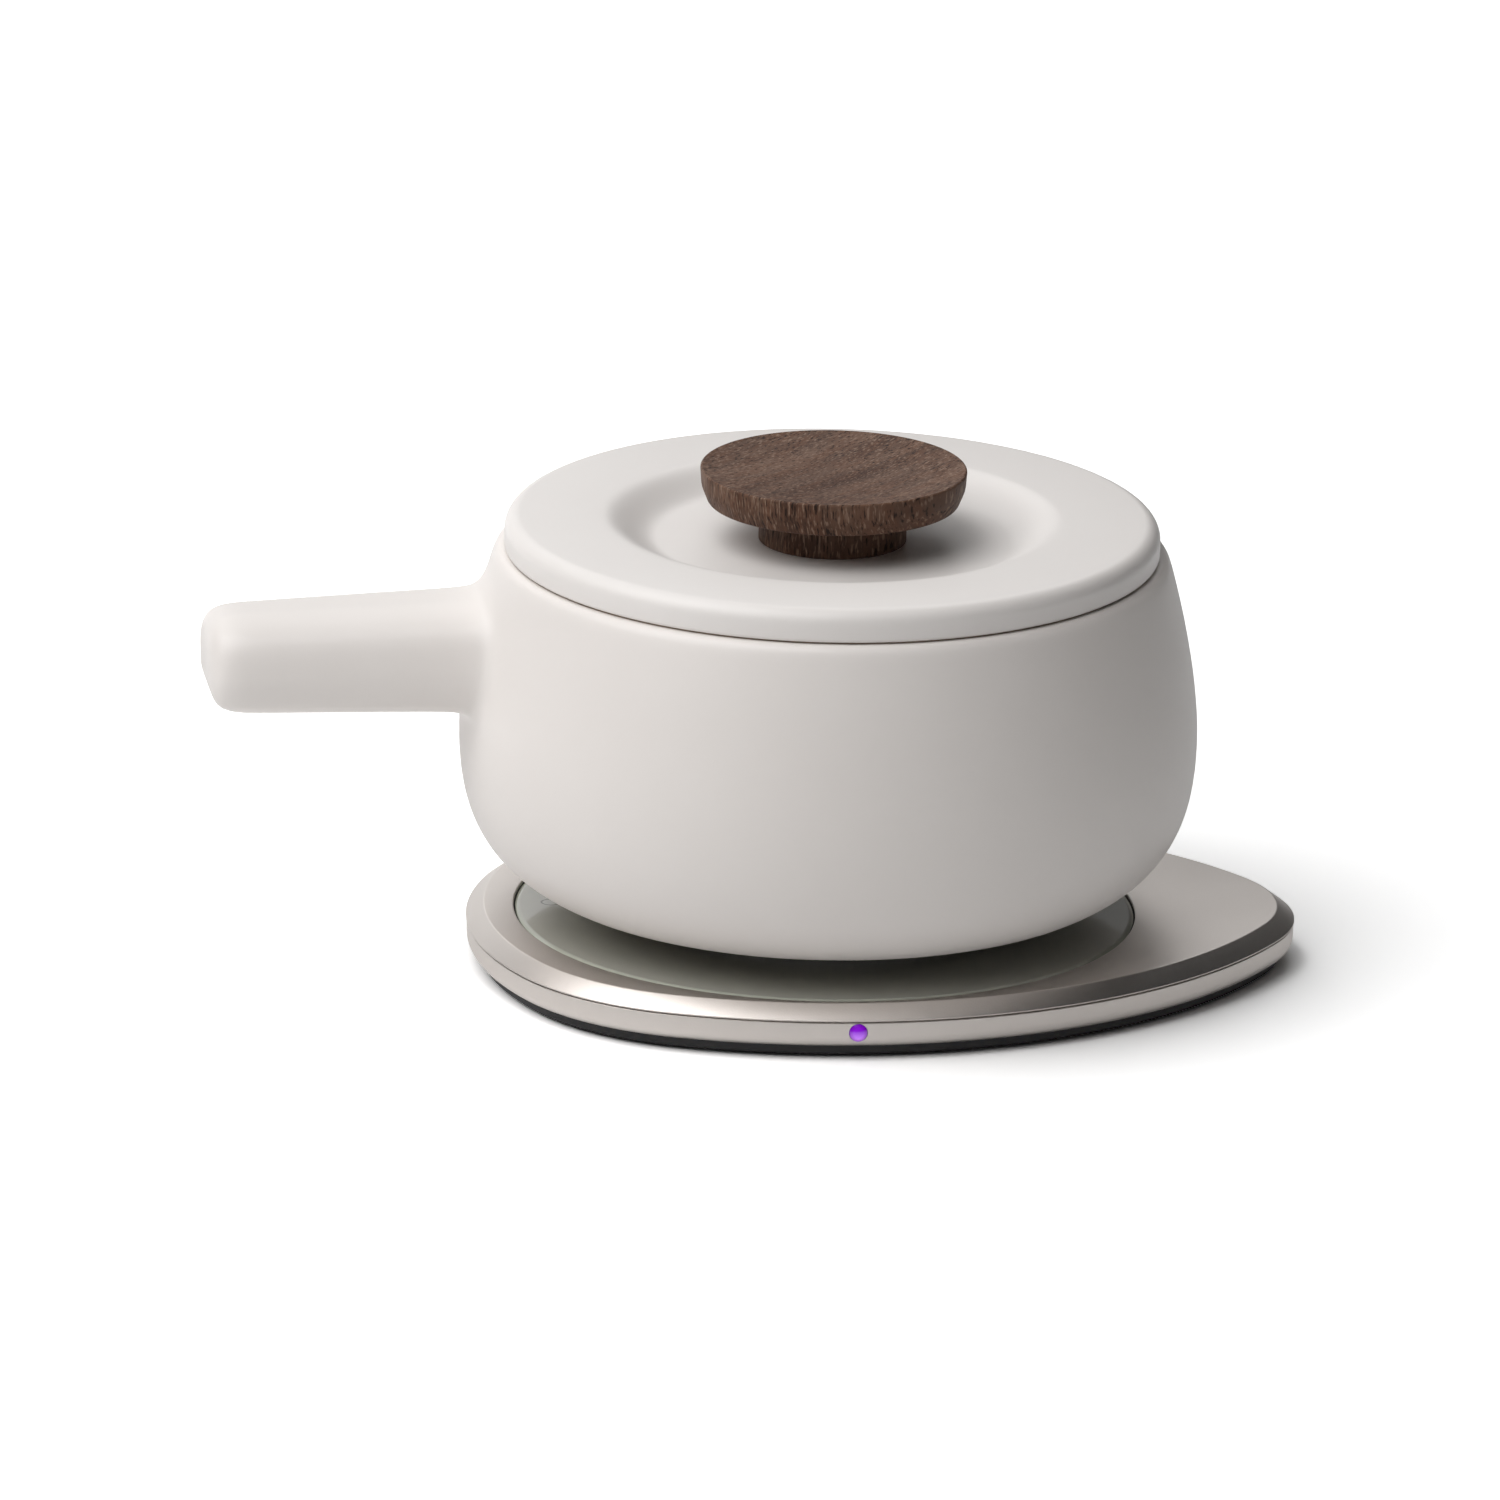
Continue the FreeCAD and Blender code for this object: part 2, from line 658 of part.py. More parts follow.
def pan_outside():
    """The pan's outer form as a solid, without handle or hollow."""
    curve, top = belly_curve()
    rim_mid = Vector((top[0] + RIM_R_OUT) / 2.0 + 0.55, 0.0, (RIM_START + RIM_TOP) / 2.0 + 0.7)
    start = Vector(top[0], 0.0, top[1])
    shoulder = Vector(RIM_R_OUT, 0.0, RIM_TOP)
    bottom = Vector(BOTTOM_FLAT_R, 0.0, PAN_FLOOR)
    return turned([
        curve,
        Part.Arc(start, rim_mid, shoulder).toShape(),
        line(shoulder, Vector(0.0, 0.0, RIM_TOP)),
        line(Vector(0.0, 0.0, RIM_TOP), Vector(0.0, 0.0, PAN_FLOOR)),
        line(Vector(0.0, 0.0, PAN_FLOOR), bottom),
    ])


def pan_hollow():
    """The room inside the pan as a solid: straight at the mouth, then following the belly."""
    floor = PAN_FLOOR + WALL
    points = (
        (BOTTOM_FLAT_R - 4.0, floor),
        (68.0, floor + 6.5),
        (82.0, floor + 22.0),
        (BELLY_R - WALL, BELLY_Z),
        (84.0, 82.0),
        (RIM_R_IN, SKIRT_BOTTOM - 2.0),
    )
    curve = smooth_curve(points, (1.0, 0.0), (0.0, 1.0))
    mouth = Vector(RIM_R_IN, 0.0, points[-1][1])
    lip = Vector(RIM_R_IN, 0.0, RIM_TOP - 1.0)
    edge = Vector(RIM_R_IN + 1.0, 0.0, RIM_TOP)
    lip_mid = Vector(RIM_R_IN + 0.3, 0.0, RIM_TOP - 0.3)
    above = RIM_TOP + 1.0
    return turned([
        curve,
        line(mouth, lip),
        Part.Arc(lip, lip_mid, edge).toShape(),
        line(edge, Vector(edge.x, 0.0, above)),
        line(Vector(edge.x, 0.0, above), Vector(0.0, 0.0, above)),
        line(Vector(0.0, 0.0, above), Vector(0.0, 0.0, floor)),
        line(Vector(0.0, 0.0, floor), Vector(points[0][0], 0.0, floor)),
    ])


def handle():
    """Straight stub handle: a tapered bar with all its edges rounded."""
    def end(x_low, x_high, half, top):
        corners = (
            Vector(x_low, -half, HANDLE_BOTTOM),
            Vector(x_low, half, HANDLE_BOTTOM),
            Vector(x_high, half, top),
            Vector(x_high, -half, top),
        )
        return Part.Wire([line(a, b) for a, b in zip(corners, corners[1:] + corners[:1])])

    tip_wire = end(HANDLE_SLANT - HANDLE_CORNER, -HANDLE_CORNER, HANDLE_HALF_TIP, HANDLE_TOP_TIP)
    root_wire = end(-HANDLE_ROOT, -HANDLE_ROOT, HANDLE_HALF_ROOT, HANDLE_TOP_ROOT)
    bar = Part.makeLoft([tip_wire, root_wire], True, True)
    return round_edges(bar, HANDLE_EDGE_R, lambda e: e.BoundBox.XMin < -HANDLE_ROOT - 1.0)


def touches_belly(edge):
    """True when an edge lies on the belly's outside surface, beside the handle."""
    if edge.BoundBox.XMax > -HANDLE_ROOT + 4.0:
        return False
    if edge.BoundBox.YLength > 2.5 * HANDLE_HALF_ROOT:
        return False
    for fraction in (0.2, 0.8):
        span = edge.LastParameter - edge.FirstParameter
        p = edge.valueAt(edge.FirstParameter + fraction * span)
        if abs(math.hypot(p.x, p.y) - belly_radius(p.z)) > 0.2:
            return False
    return True


def pot():
    """Ceramic pan and handle in one piece, with a blended root and a seat for the steel plate."""
    body = pan_outside().fuse(handle())
    body = round_edges(body, HANDLE_BLEND_R, touches_belly)
    body = body.cut(pan_hollow())
    return body.cut(disc(PLATE_R, PAN_FLOOR - 1.0, PAN_FLOOR + PLATE_SINK))


def induction_plate():
    """Steel plate set in the pan's bottom, which the coil heats and the pan stands on."""
    plate = disc(PLATE_R, GLASS_TOP, PAN_FLOOR + PLATE_SINK)
    return round_edges(plate, 1.0, lambda e: at_height(e, GLASS_TOP))


# ------------------------------------------------------------------ lid

def lid():
    """Ceramic lid: flat raised ring, soft slope into a round well, and a locating skirt below."""
    well = [Vector(WELL_R_FLOOR, 0.0, WELL_FLOOR)]
    slope = Part.BSplineCurve()
    middle = Vector((WELL_R_FLOOR + WELL_R_TOP) / 2.0, 0.0, (WELL_FLOOR + LID_TOP) / 2.0)
    well.extend([middle, Vector(WELL_R_TOP, 0.0, LID_TOP)])
    slope.interpolate(Points=well, InitialTangent=Vector(1, 0, 0), FinalTangent=Vector(1, 0, 0))
    shoulder = Vector(LID_R - LID_EDGE_R, 0.0, LID_TOP)
    side = Vector(LID_R, 0.0, LID_TOP - LID_EDGE_R)
    edge_mid = Vector(
        LID_R - LID_EDGE_R * (1.0 - math.sqrt(0.5)), 0.0, LID_TOP - LID_EDGE_R * (1.0 - math.sqrt(0.5))
    )
    below = (
        (LID_R, LID_BOTTOM + 0.8),
        (LID_R - 0.8, LID_BOTTOM),
        (SKIRT_R, LID_BOTTOM),
        (SKIRT_R, SKIRT_BOTTOM),
        (SKIRT_IN_R, SKIRT_BOTTOM),
        (SKIRT_IN_R, LID_UNDER + 3.0),
        (SKIRT_IN_R - 4.0, LID_UNDER),
        (0.0, LID_UNDER),
    )
    path = [side] + [Vector(r, 0.0, z) for r, z in below] + [Vector(0.0, 0.0, WELL_FLOOR), well[0]]
    solid = turned([
        slope.toShape(),
        line(well[-1], shoulder),
        Part.Arc(shoulder, edge_mid, side).toShape(),
        *[line(a, b) for a, b in zip(path, path[1:])],
    ])
    return solid.cut(disc(KNOB_SCREW_R + 0.3, LID_UNDER - 1.0, WELL_FLOOR + 1.0))


def lid_seal():
    """Silicone ring under the lid's edge, with a lip down the skirt."""
    return turned(profile((
        (SKIRT_R, SEAL_LIP_BOTTOM),
        (SEAL_LIP_R, SEAL_LIP_BOTTOM),
        (SEAL_LIP_R, RIM_TOP),
        (SEAL_R, RIM_TOP),
        (SEAL_R, LID_BOTTOM),
        (SKIRT_R, LID_BOTTOM),
    )))


def knob():
    """Turned walnut knob: dished disc on a straight foot, bored from below for its insert."""
    dish_mid_r = KNOB_R_TOP / 2.0
    dish_r = (KNOB_R_TOP ** 2 + KNOB_DISH ** 2) / (2.0 * KNOB_DISH)
    dish_mid_z = KNOB_TOP - KNOB_DISH + dish_r - math.sqrt(dish_r ** 2 - dish_mid_r ** 2)
    rim = Vector(KNOB_R_TOP, 0.0, KNOB_TOP)
    low = Vector(KNOB_R_LOW, 0.0, KNOB_UNDER + 1.0)
    side_mid = Vector(KNOB_R_TOP - 0.5, 0.0, (KNOB_TOP + KNOB_UNDER) / 2.0)
    centre = Vector(0.0, 0.0, KNOB_TOP - KNOB_DISH)
    path = (
        low,
        Vector(KNOB_R_LOW - 1.0, 0.0, KNOB_UNDER),
        Vector(KNOB_FOOT_R, 0.0, KNOB_UNDER),
        Vector(KNOB_FOOT_R, 0.0, WELL_FLOOR),
        Vector(0.0, 0.0, WELL_FLOOR),
        centre,
    )
    solid = turned([
        Part.Arc(centre, Vector(dish_mid_r, 0.0, dish_mid_z), rim).toShape(),
        Part.Arc(rim, side_mid, low).toShape(),
        *[line(a, b) for a, b in zip(path, path[1:])],
    ])
    return solid.cut(disc(INSERT_R, WELL_FLOOR - 1.0, INSERT_TOP))


def knob_insert():
    """Threaded brass insert in the knob."""
    insert = disc(INSERT_R, WELL_FLOOR + 0.3, INSERT_TOP)
    return insert.cut(disc(KNOB_SCREW_R, WELL_FLOOR - 1.0, KNOB_SCREW_TOP + 0.5))


def knob_washer():
    """Soft washer between the screw's head and the lid's underside."""
    return ring(KNOB_SCREW_R + 0.3, WASHER_R, LID_UNDER - WASHER_THICK, LID_UNDER)


def knob_screw():
    """Pan-head screw from inside the lid up into the knob, with a cross recess."""
    head_r, head_h = KNOB_SCREW_HEAD
    under = LID_UNDER - WASHER_THICK
    head = disc(head_r, under - head_h, under)
    head = round_edges(head, 1.2, lambda e: at_height(e, under - head_h))
    for turn in (0.0, 90.0):
        bar = block(-2.0, 2.0, -0.4, 0.4, under - head_h - 1.0, under - head_h + 1.2)
        bar.rotate(Vector(0, 0, 0), UP, turn)
        head = head.cut(bar)
    return head.fuse(disc(KNOB_SCREW_R, under - 0.1, KNOB_SCREW_TOP))


# ------------------------------------------------------------------ output

PIECES = (
    top_cover, glass_plate, glass_gasket, rim_band, bottom_tray, rubber_feet, tray_screws,
    shield_plate, ferrite_bars, coil_carrier, induction_coil, coil_leads, mica_sheet,
    sensor_pad, temperature_sensor, control_board, board_screws, power_transistors, heat_sink,
    resonant_capacitor, filter_choke, controller_chip, coil_terminals, light_board, status_led,
    status_light_lens, light_cable, power_inlet,
    pot, induction_plate,
    lid, lid_seal, knob, knob_insert, knob_washer, knob_screw,
)


def main():
    """Write every piece, centred over the origin, to its own file."""
    os.makedirs("parts", exist_ok=True)
    for make in PIECES:
        shape = make()
        shape.translate(Vector(PAN_X, 0.0, 0.0))
        if not shape.isValid():
            raise ValueError(make.__name__ + " is not a valid solid")
        shape.exportStep("parts/" + make.__name__ + ".step")
        box = shape.BoundBox
        print("%-20s %d solids %9.0f mm3  x %.1f..%.1f  y %.1f..%.1f  z %.1f..%.1f" % (
            make.__name__, len(shape.Solids), shape.Volume,
            box.XMin, box.XMax, box.YMin, box.YMax, box.ZMin, box.ZMax,
        ))


main()
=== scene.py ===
"""Looks of a lidded ceramic saucepan on a thin induction base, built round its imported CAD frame."""
import logging
import math
from dataclasses import dataclass, field
from enum import Enum
from typing import Any, Iterable, Sequence

import bmesh
import bpy
from mathutils import Matrix, Vector


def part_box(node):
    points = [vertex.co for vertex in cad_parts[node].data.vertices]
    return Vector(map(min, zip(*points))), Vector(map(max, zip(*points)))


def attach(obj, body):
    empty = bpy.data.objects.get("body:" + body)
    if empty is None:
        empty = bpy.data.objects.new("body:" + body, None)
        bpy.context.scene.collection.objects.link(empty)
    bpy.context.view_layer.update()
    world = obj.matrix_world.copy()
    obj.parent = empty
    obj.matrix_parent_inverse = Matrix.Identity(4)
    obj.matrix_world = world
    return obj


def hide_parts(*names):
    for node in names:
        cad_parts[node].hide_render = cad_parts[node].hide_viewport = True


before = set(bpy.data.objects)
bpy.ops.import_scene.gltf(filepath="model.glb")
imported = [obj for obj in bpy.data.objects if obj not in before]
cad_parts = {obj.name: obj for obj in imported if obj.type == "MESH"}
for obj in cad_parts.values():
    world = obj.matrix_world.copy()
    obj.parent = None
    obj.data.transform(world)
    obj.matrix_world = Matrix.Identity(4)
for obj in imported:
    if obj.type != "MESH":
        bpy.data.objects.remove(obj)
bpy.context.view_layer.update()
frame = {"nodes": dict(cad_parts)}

LOG = logging.getLogger("saucepan")
MM = 0.001
Point = tuple[float, float]
Corner = tuple[float, float, float]
Colour = tuple[float, float, float]
Scale = tuple[float, float, float]


class Body(str, Enum):
    """The rigid bodies that pieces ride on."""

    BASE = "base"
    PAN = "pan"
    LID = "lid"


class Grain(Enum):
    """Which way a timber's fibres run through a face: its name, and the scales of its figure."""

    ACROSS_TOP = ("across_top", (13.0, 75.0, 10.0), (90.0, 700.0, 60.0), (700.0, 2200.0, 300.0))
    UP_THE_SIDE = ("up_the_side", (70.0, 70.0, 5.0), (430.0, 430.0, 14.0), (1700.0, 1700.0, 420.0))

    def scales(self) -> tuple[Scale, Scale, Scale]:
        """Cycles per metre of the growth bands, the fibres and the pores."""
        return self.value[1:]


def middle(node: str) -> Vector:
    """Centre of a CAD node's box.

    Args:
        node: name of the CAD node.

    Returns:
        The middle of its box in metres.
    """
    low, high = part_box(node)
    return (low + high) / 2.0


PAN_AXIS = Vector((middle("lid").x, middle("lid").y, 0.0))


# ---------------------------------------------------------------------------
# Mesh helpers
# ---------------------------------------------------------------------------


def rounded(corners: Sequence[Corner], closed: bool = False, steps: int = 5) -> list[Point]:
    """Turn a cornered section into points, with each corner rounded by an arc.

    Args:
        corners: (across, height, corner radius) in millimetres.
        closed: whether the last corner joins the first.
        steps: segments in each rounded corner.

    Returns:
        Points along the section, in millimetres.
    """
    points: list[Point] = []
    count = len(corners)
    for i, (x, z, radius) in enumerate(corners):
        here = Vector((x, z))
        if radius <= 0.0 or (not closed and i in (0, count - 1)):
            points.append((x, z))
            continue
        back = (Vector(corners[i - 1][:2]) - here).normalized()
        onward = (Vector(corners[(i + 1) % count][:2]) - here).normalized()
        half = back.angle(onward) / 2.0
        centre = here + (back + onward).normalized() * (radius / math.sin(half))
        start = here + back * (radius / math.tan(half)) - centre
        end = here + onward * (radius / math.tan(half)) - centre
        sweep = math.copysign(math.pi - 2.0 * half, start.cross(end))
        for k in range(steps + 1):
            angle = sweep * k / steps
            cos, sin = math.cos(angle), math.sin(angle)
            points.append((
                centre.x + start.x * cos - start.y * sin,
                centre.y + start.x * sin + start.y * cos,
            ))
    return points


def make_object(bm: bmesh.types.BMesh, name: str, sharp_deg: float = 38.0) -> bpy.types.Object:
    """Merge, orient and shade a bmesh and turn it into an object at the origin.

    Args:
        bm: the finished bmesh, which is freed.
        name: the piece's name.
        sharp_deg: edges that turn more than this stay sharp.

    Returns:
        The new object, linked to the scene.
    """
    bmesh.ops.remove_doubles(bm, verts=bm.verts, dist=1e-6)
    bmesh.ops.recalc_face_normals(bm, faces=bm.faces)
    for face in bm.faces:
        face.smooth = True
    mesh = bpy.data.meshes.new(name)
    bm.to_mesh(mesh)
    bm.free()
    mesh.set_sharp_from_angle(angle=math.radians(sharp_deg))
    obj = bpy.data.objects.new(name, mesh)
    bpy.context.scene.collection.objects.link(obj)
    return obj


def turned(points: Sequence[Point], steps: int, closed: bool = False) -> bmesh.types.BMesh:
    """Spin a section about the pan's axis.

    Args:
        points: (radius, height) pairs in millimetres.
        steps: segments round the axis.
        closed: whether the section is a closed ring that stays off the axis.

    Returns:
        A bmesh of the turned form.
    """
    bm = bmesh.new()
    verts = [bm.verts.new((PAN_AXIS.x + r * MM, PAN_AXIS.y, z * MM)) for r, z in points]
    pairs = list(zip(verts, verts[1:]))
    if closed:
        pairs.append((verts[-1], verts[0]))
    edges = [bm.edges.new(pair) for pair in pairs]
    bmesh.ops.spin(
        bm, geom=verts + edges, cent=PAN_AXIS, axis=(0.0, 0.0, 1.0),
        angle=math.tau, steps=steps, use_merge=True,
    )
    bmesh.ops.remove_doubles(bm, verts=bm.verts, dist=1e-6)
    return bm


def swept(loops: Sequence[Sequence[Vector]]) -> bmesh.types.BMesh:
    """Sweep a closed section round a closed outline.

    Args:
        loops: one closed loop of points for each point of the section, all of one length.

    Returns:
        A bmesh of the ring, closed from its last loop back to its first.
    """
    bm = bmesh.new()
    first = [bm.verts.new(p) for p in loops[0]]
    edges = [bm.edges.new(pair) for pair in zip(first, first[1:] + first[:1])]
    loop_edges = edges
    order = first
    for loop in loops[1:]:
        made = bmesh.ops.extrude_edge_only(bm, edges=loop_edges)["geom"]
        fresh = {tuple(v.co): v for v in made if isinstance(v, bmesh.types.BMVert)}
        order = [fresh[tuple(v.co)] for v in order]
        for vert, point in zip(order, loop):
            vert.co = point
        loop_edges = [bm.edges.get(pair) for pair in zip(order, order[1:] + order[:1])]
    bmesh.ops.bridge_loops(bm, edges=loop_edges + edges)
    return bm


def carve(obj: bpy.types.Object, cutters: Iterable[bpy.types.Object]) -> None:
    """Cut other forms out of a piece and throw the cutters away.

    Args:
        obj: the piece to cut.
        cutters: closed meshes to take out of it.
    """
    for cutter in cutters:
        cut = obj.modifiers.new("cut", "BOOLEAN")
        cut.operation = "DIFFERENCE"
        cut.solver = "EXACT"
        cut.object = cutter
        bpy.context.view_layer.update()
        shape = bpy.data.meshes.new_from_object(obj.evaluated_get(bpy.context.evaluated_depsgraph_get()))
        obj.modifiers.clear()
        obj.data = shape
        bpy.data.objects.remove(cutter)
    bm = bmesh.new()
    bm.from_mesh(obj.data)
    bmesh.ops.dissolve_degenerate(bm, dist=1e-6, edges=bm.edges)
    for face in bm.faces:
        face.smooth = True
    bm.to_mesh(obj.data)
    bm.free()
    obj.data.set_sharp_from_angle(angle=math.radians(38.0))


def dress(obj: bpy.types.Object, *materials: bpy.types.Material) -> bpy.types.Object:
    """Give a piece its materials.

    Args:
        obj: the piece.
        materials: one material for each slot.

    Returns:
        The same piece.
    """
    obj.data.materials.clear()
    for material in materials:
        obj.data.materials.append(material)
    return obj


def fit(obj: bpy.types.Object, body: Body, slot: str, *nodes: str) -> bpy.types.Object:
    """Put a new piece on its body, in place of the CAD nodes that it stands for.

    Args:
        obj: the new piece.
        body: the body that it rides on.
        slot: not used.
        nodes: the CAD nodes that it replaces.

    Returns:
        The same piece.
    """
    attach(obj, body.value)
    if nodes:
        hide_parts(*nodes)
    LOG.info("%s: %d faces on %s", obj.name, len(obj.data.polygons), body.value)
    return obj


@dataclass(frozen=True)
class Arc:
    """One arc of the base's outline, counted anticlockwise."""

    centre: Vector
    radius: float
    start: float
    end: float


@dataclass(frozen=True)
class EggOutline:
    """Outline of the base: tangent arcs, symmetric about its long axis. Millimetres from the pan's axis."""

    tip_x: float = 75.83
    tip_r: float = 42.96
    corner_x: float = -24.41
    corner_y: float = 16.88
    corner_r: float = 61.77
    side_r: float = 130.12
    rear_r: float = 102.73
    spacing: float = 2.0

    def arcs(self) -> list[Arc]:
        """Work out the arcs from their radii and the places of their centres.

        Returns:
            The six arcs in order, anticlockwise from the tip's lower end.
        """
        tip = Vector((self.tip_x, 0.0))
        reach_tip = self.side_r - self.tip_r
        reach_corner = self.side_r - self.corner_r
        corner = Vector((self.corner_x, self.corner_y))
        span = tip - corner
        along = (reach_corner ** 2 - reach_tip ** 2 + span.length_squared) / (2.0 * span.length)
        across = math.sqrt(reach_corner ** 2 - along ** 2)
        unit = span.normalized()
        side = corner + unit * along + Vector((unit.y, -unit.x)) * across
        rear_gap = math.sqrt((self.rear_r - self.corner_r) ** 2 - corner.y ** 2)
        rear = Vector((corner.x + rear_gap, 0.0))
        a_tip = math.atan2(tip.y - side.y, tip.x - side.x)
        a_corner = math.atan2(corner.y - side.y, corner.x - side.x)
        a_rear = math.atan2(corner.y - rear.y, corner.x - rear.x)
        lower_side = Vector((side.x, -side.y))
        lower_corner = Vector((corner.x, -corner.y))
        return [
            Arc(tip, self.tip_r, -a_tip, a_tip),
            Arc(side, self.side_r, a_tip, a_corner),
            Arc(corner, self.corner_r, a_corner, a_rear),
            Arc(rear, self.rear_r, a_rear, math.tau - a_rear),
            Arc(lower_corner, self.corner_r, -a_rear, -a_corner),
            Arc(lower_side, self.side_r, -a_corner, -a_tip),
        ]

    def loop(self, inset: float, height: float) -> list[Vector]:
        """Points round the outline.

        Args:
            inset: how far the outline is moved inwards, in millimetres.
            height: height above the floor, in millimetres.

        Returns:
            Points in metres, in the row frame.
        """
        points = []
        for arc in self.arcs():
            steps = math.ceil(arc.radius * (arc.end - arc.start) / self.spacing)
            for k in range(steps):
                angle = arc.start + (arc.end - arc.start) * k / steps
                r = arc.radius - inset
                x = arc.centre.x + r * math.cos(angle)
                y = arc.centre.y + r * math.sin(angle)
                points.append(Vector((x, y, height)) * MM + PAN_AXIS)
        return points

    def round_loop(self, radius: float, height: float) -> list[Vector]:
        """A circle about the pan's axis with one point for each point of the outline.

        Args:
            radius: the circle's radius in millimetres.
            height: height above the floor in millimetres.

        Returns:
            Points in metres, in the row frame.
        """
        points = []
        for p in self.loop(0.0, 0.0):
            outward = (p - PAN_AXIS).normalized()
            points.append(PAN_AXIS + outward * radius * MM + Vector((0.0, 0.0, height * MM)))
        return points


# ---------------------------------------------------------------------------
# Finishes
# ---------------------------------------------------------------------------


class NodeSheet:
    """Adds and wires nodes in one node tree."""

    def __init__(self, tree: bpy.types.NodeTree) -> None:
        """Keep the tree.

        Args:
            tree: the node tree to work in.
        """
        self.tree = tree

    def add(self, kind: str, values: dict[Any, Any] | None = None, **settings: Any) -> bpy.types.Node:
        """Add a node.

        Args:
            kind: Blender's node type name, without its ShaderNode prefix.
            values: input values or links, by socket name or number.
            settings: node properties.

        Returns:
            The new node.
        """
        node = self.tree.nodes.new("ShaderNode" + kind)
        for name, value in settings.items():
            setattr(node, name, value)
        for name, value in (values or {}).items():
            if isinstance(value, bpy.types.NodeSocket):
                self.tree.links.new(value, node.inputs[name])
            else:
                node.inputs[name].default_value = value
        return node

    def math(self, operation: str, a: Any, b: Any = 0.0) -> bpy.types.NodeSocket:
        """Add a Math node and return its output.

        Args:
            operation: Blender's name of the operation.
            a: first value or link.
            b: second value or link.

        Returns:
            The result's socket.
        """
        return self.add("Math", {0: a, 1: b}, operation=operation).outputs[0]

    def mix(self, share: Any, a: Any, b: Any, blend: str = "MIX") -> bpy.types.NodeSocket:
        """Mix two colours.

        Args:
            share: how much of b shows.
            a: first colour or link.
            b: second colour or link.
            blend: Blender's name of the blend type.

        Returns:
            The mixed colour's socket.
        """
        node = self.add("Mix", {0: share, 6: a, 7: b}, data_type="RGBA", blend_type=blend)
        return node.outputs[2]

    def spread(self, value: Any, low: float, high: float, to_low: float = 0.0, to_high: float = 1.0) -> Any:
        """Map a range of values to another, held at both ends.

        Args:
            value: the link to map.
            low: value that maps to to_low.
            high: value that maps to to_high.
            to_low: lowest result.
            to_high: highest result.

        Returns:
            The result's socket.
        """
        return self.add("MapRange", {0: value, 1: low, 2: high, 3: to_low, 4: to_high}).outputs[0]

    def place(self, scale: Sequence[float] = (1.0, 1.0, 1.0), turn_deg: float = 0.0) -> bpy.types.NodeSocket:
        """Object coordinates centred on the pan's axis.

        Args:
            scale: stretch along each axis.
            turn_deg: turn about the upright axis.

        Returns:
            The coordinate's socket.
        """
        where = self.add("TexCoord").outputs["Object"]
        centred = self.add("Mapping", {"Vector": where, "Location": -PAN_AXIS}).outputs[0]
        angle = (0.0, 0.0, math.radians(turn_deg))
        aligned = self.add("Mapping", {"Vector": centred, "Rotation": angle}).outputs[0]
        return self.add("Mapping", {"Vector": aligned, "Scale": scale}).outputs[0]


def rgba(colour: Colour) -> tuple[float, float, float, float]:
    """A colour with full alpha."""
    return (*colour, 1.0)


def grain_group() -> bpy.types.ShaderNodeTree:
    """Shared effect: soft mottling of colour, fine grain, and roughness that follows both.

    Returns:
        The node group, built once.
    """
    name = "mottle_and_grain"
    if name in bpy.data.node_groups:
        return bpy.data.node_groups[name]
    tree = bpy.data.node_groups.new(name, "ShaderNodeTree")
    inputs = (
        ("Vector", "NodeSocketVector", None), ("Colour", "NodeSocketColor", None),
        ("Tint", "NodeSocketColor", None), ("Mottle Scale", "NodeSocketFloat", 20.0),
        ("Mottle", "NodeSocketFloat", 0.5), ("Grain Scale", "NodeSocketFloat", 2000.0),
        ("Grain", "NodeSocketFloat", 0.5), ("Roughness", "NodeSocketFloat", 0.4),
        ("Roughness Spread", "NodeSocketFloat", 0.1),
    )
    for label, kind, value in inputs:
        socket = tree.interface.new_socket(name=label, in_out="INPUT", socket_type=kind)
        if value is not None:
            socket.default_value = value
    for label, kind in (("Colour", "Color"), ("Roughness", "Float"), ("Height", "Float")):
        tree.interface.new_socket(name=label, in_out="OUTPUT", socket_type="NodeSocket" + kind)
    sheet = NodeSheet(tree)
    given = tree.nodes.new("NodeGroupInput").outputs
    result = tree.nodes.new("NodeGroupOutput").inputs
    soft = sheet.add("TexNoise", {"Vector": given["Vector"], "Scale": given["Mottle Scale"], "Detail": 3.0})
    fine = sheet.add("TexNoise", {"Vector": given["Vector"], "Scale": given["Grain Scale"], "Detail": 2.0})
    soft_mask = sheet.spread(soft.outputs[0], 0.35, 0.65)
    share = sheet.math("MULTIPLY", soft_mask, given["Mottle"])
    tree.links.new(sheet.mix(share, given["Colour"], given["Tint"]), result["Colour"])
    wander = sheet.math("SUBTRACT", sheet.math("ADD", soft.outputs[0], fine.outputs[0]), 1.0)
    rough = sheet.math("MULTIPLY", wander, given["Roughness Spread"])
    tree.links.new(sheet.math("ADD", rough, given["Roughness"]), result["Roughness"])
    tree.links.new(sheet.math("MULTIPLY", fine.outputs[0], given["Grain"]), result["Height"])
    return tree


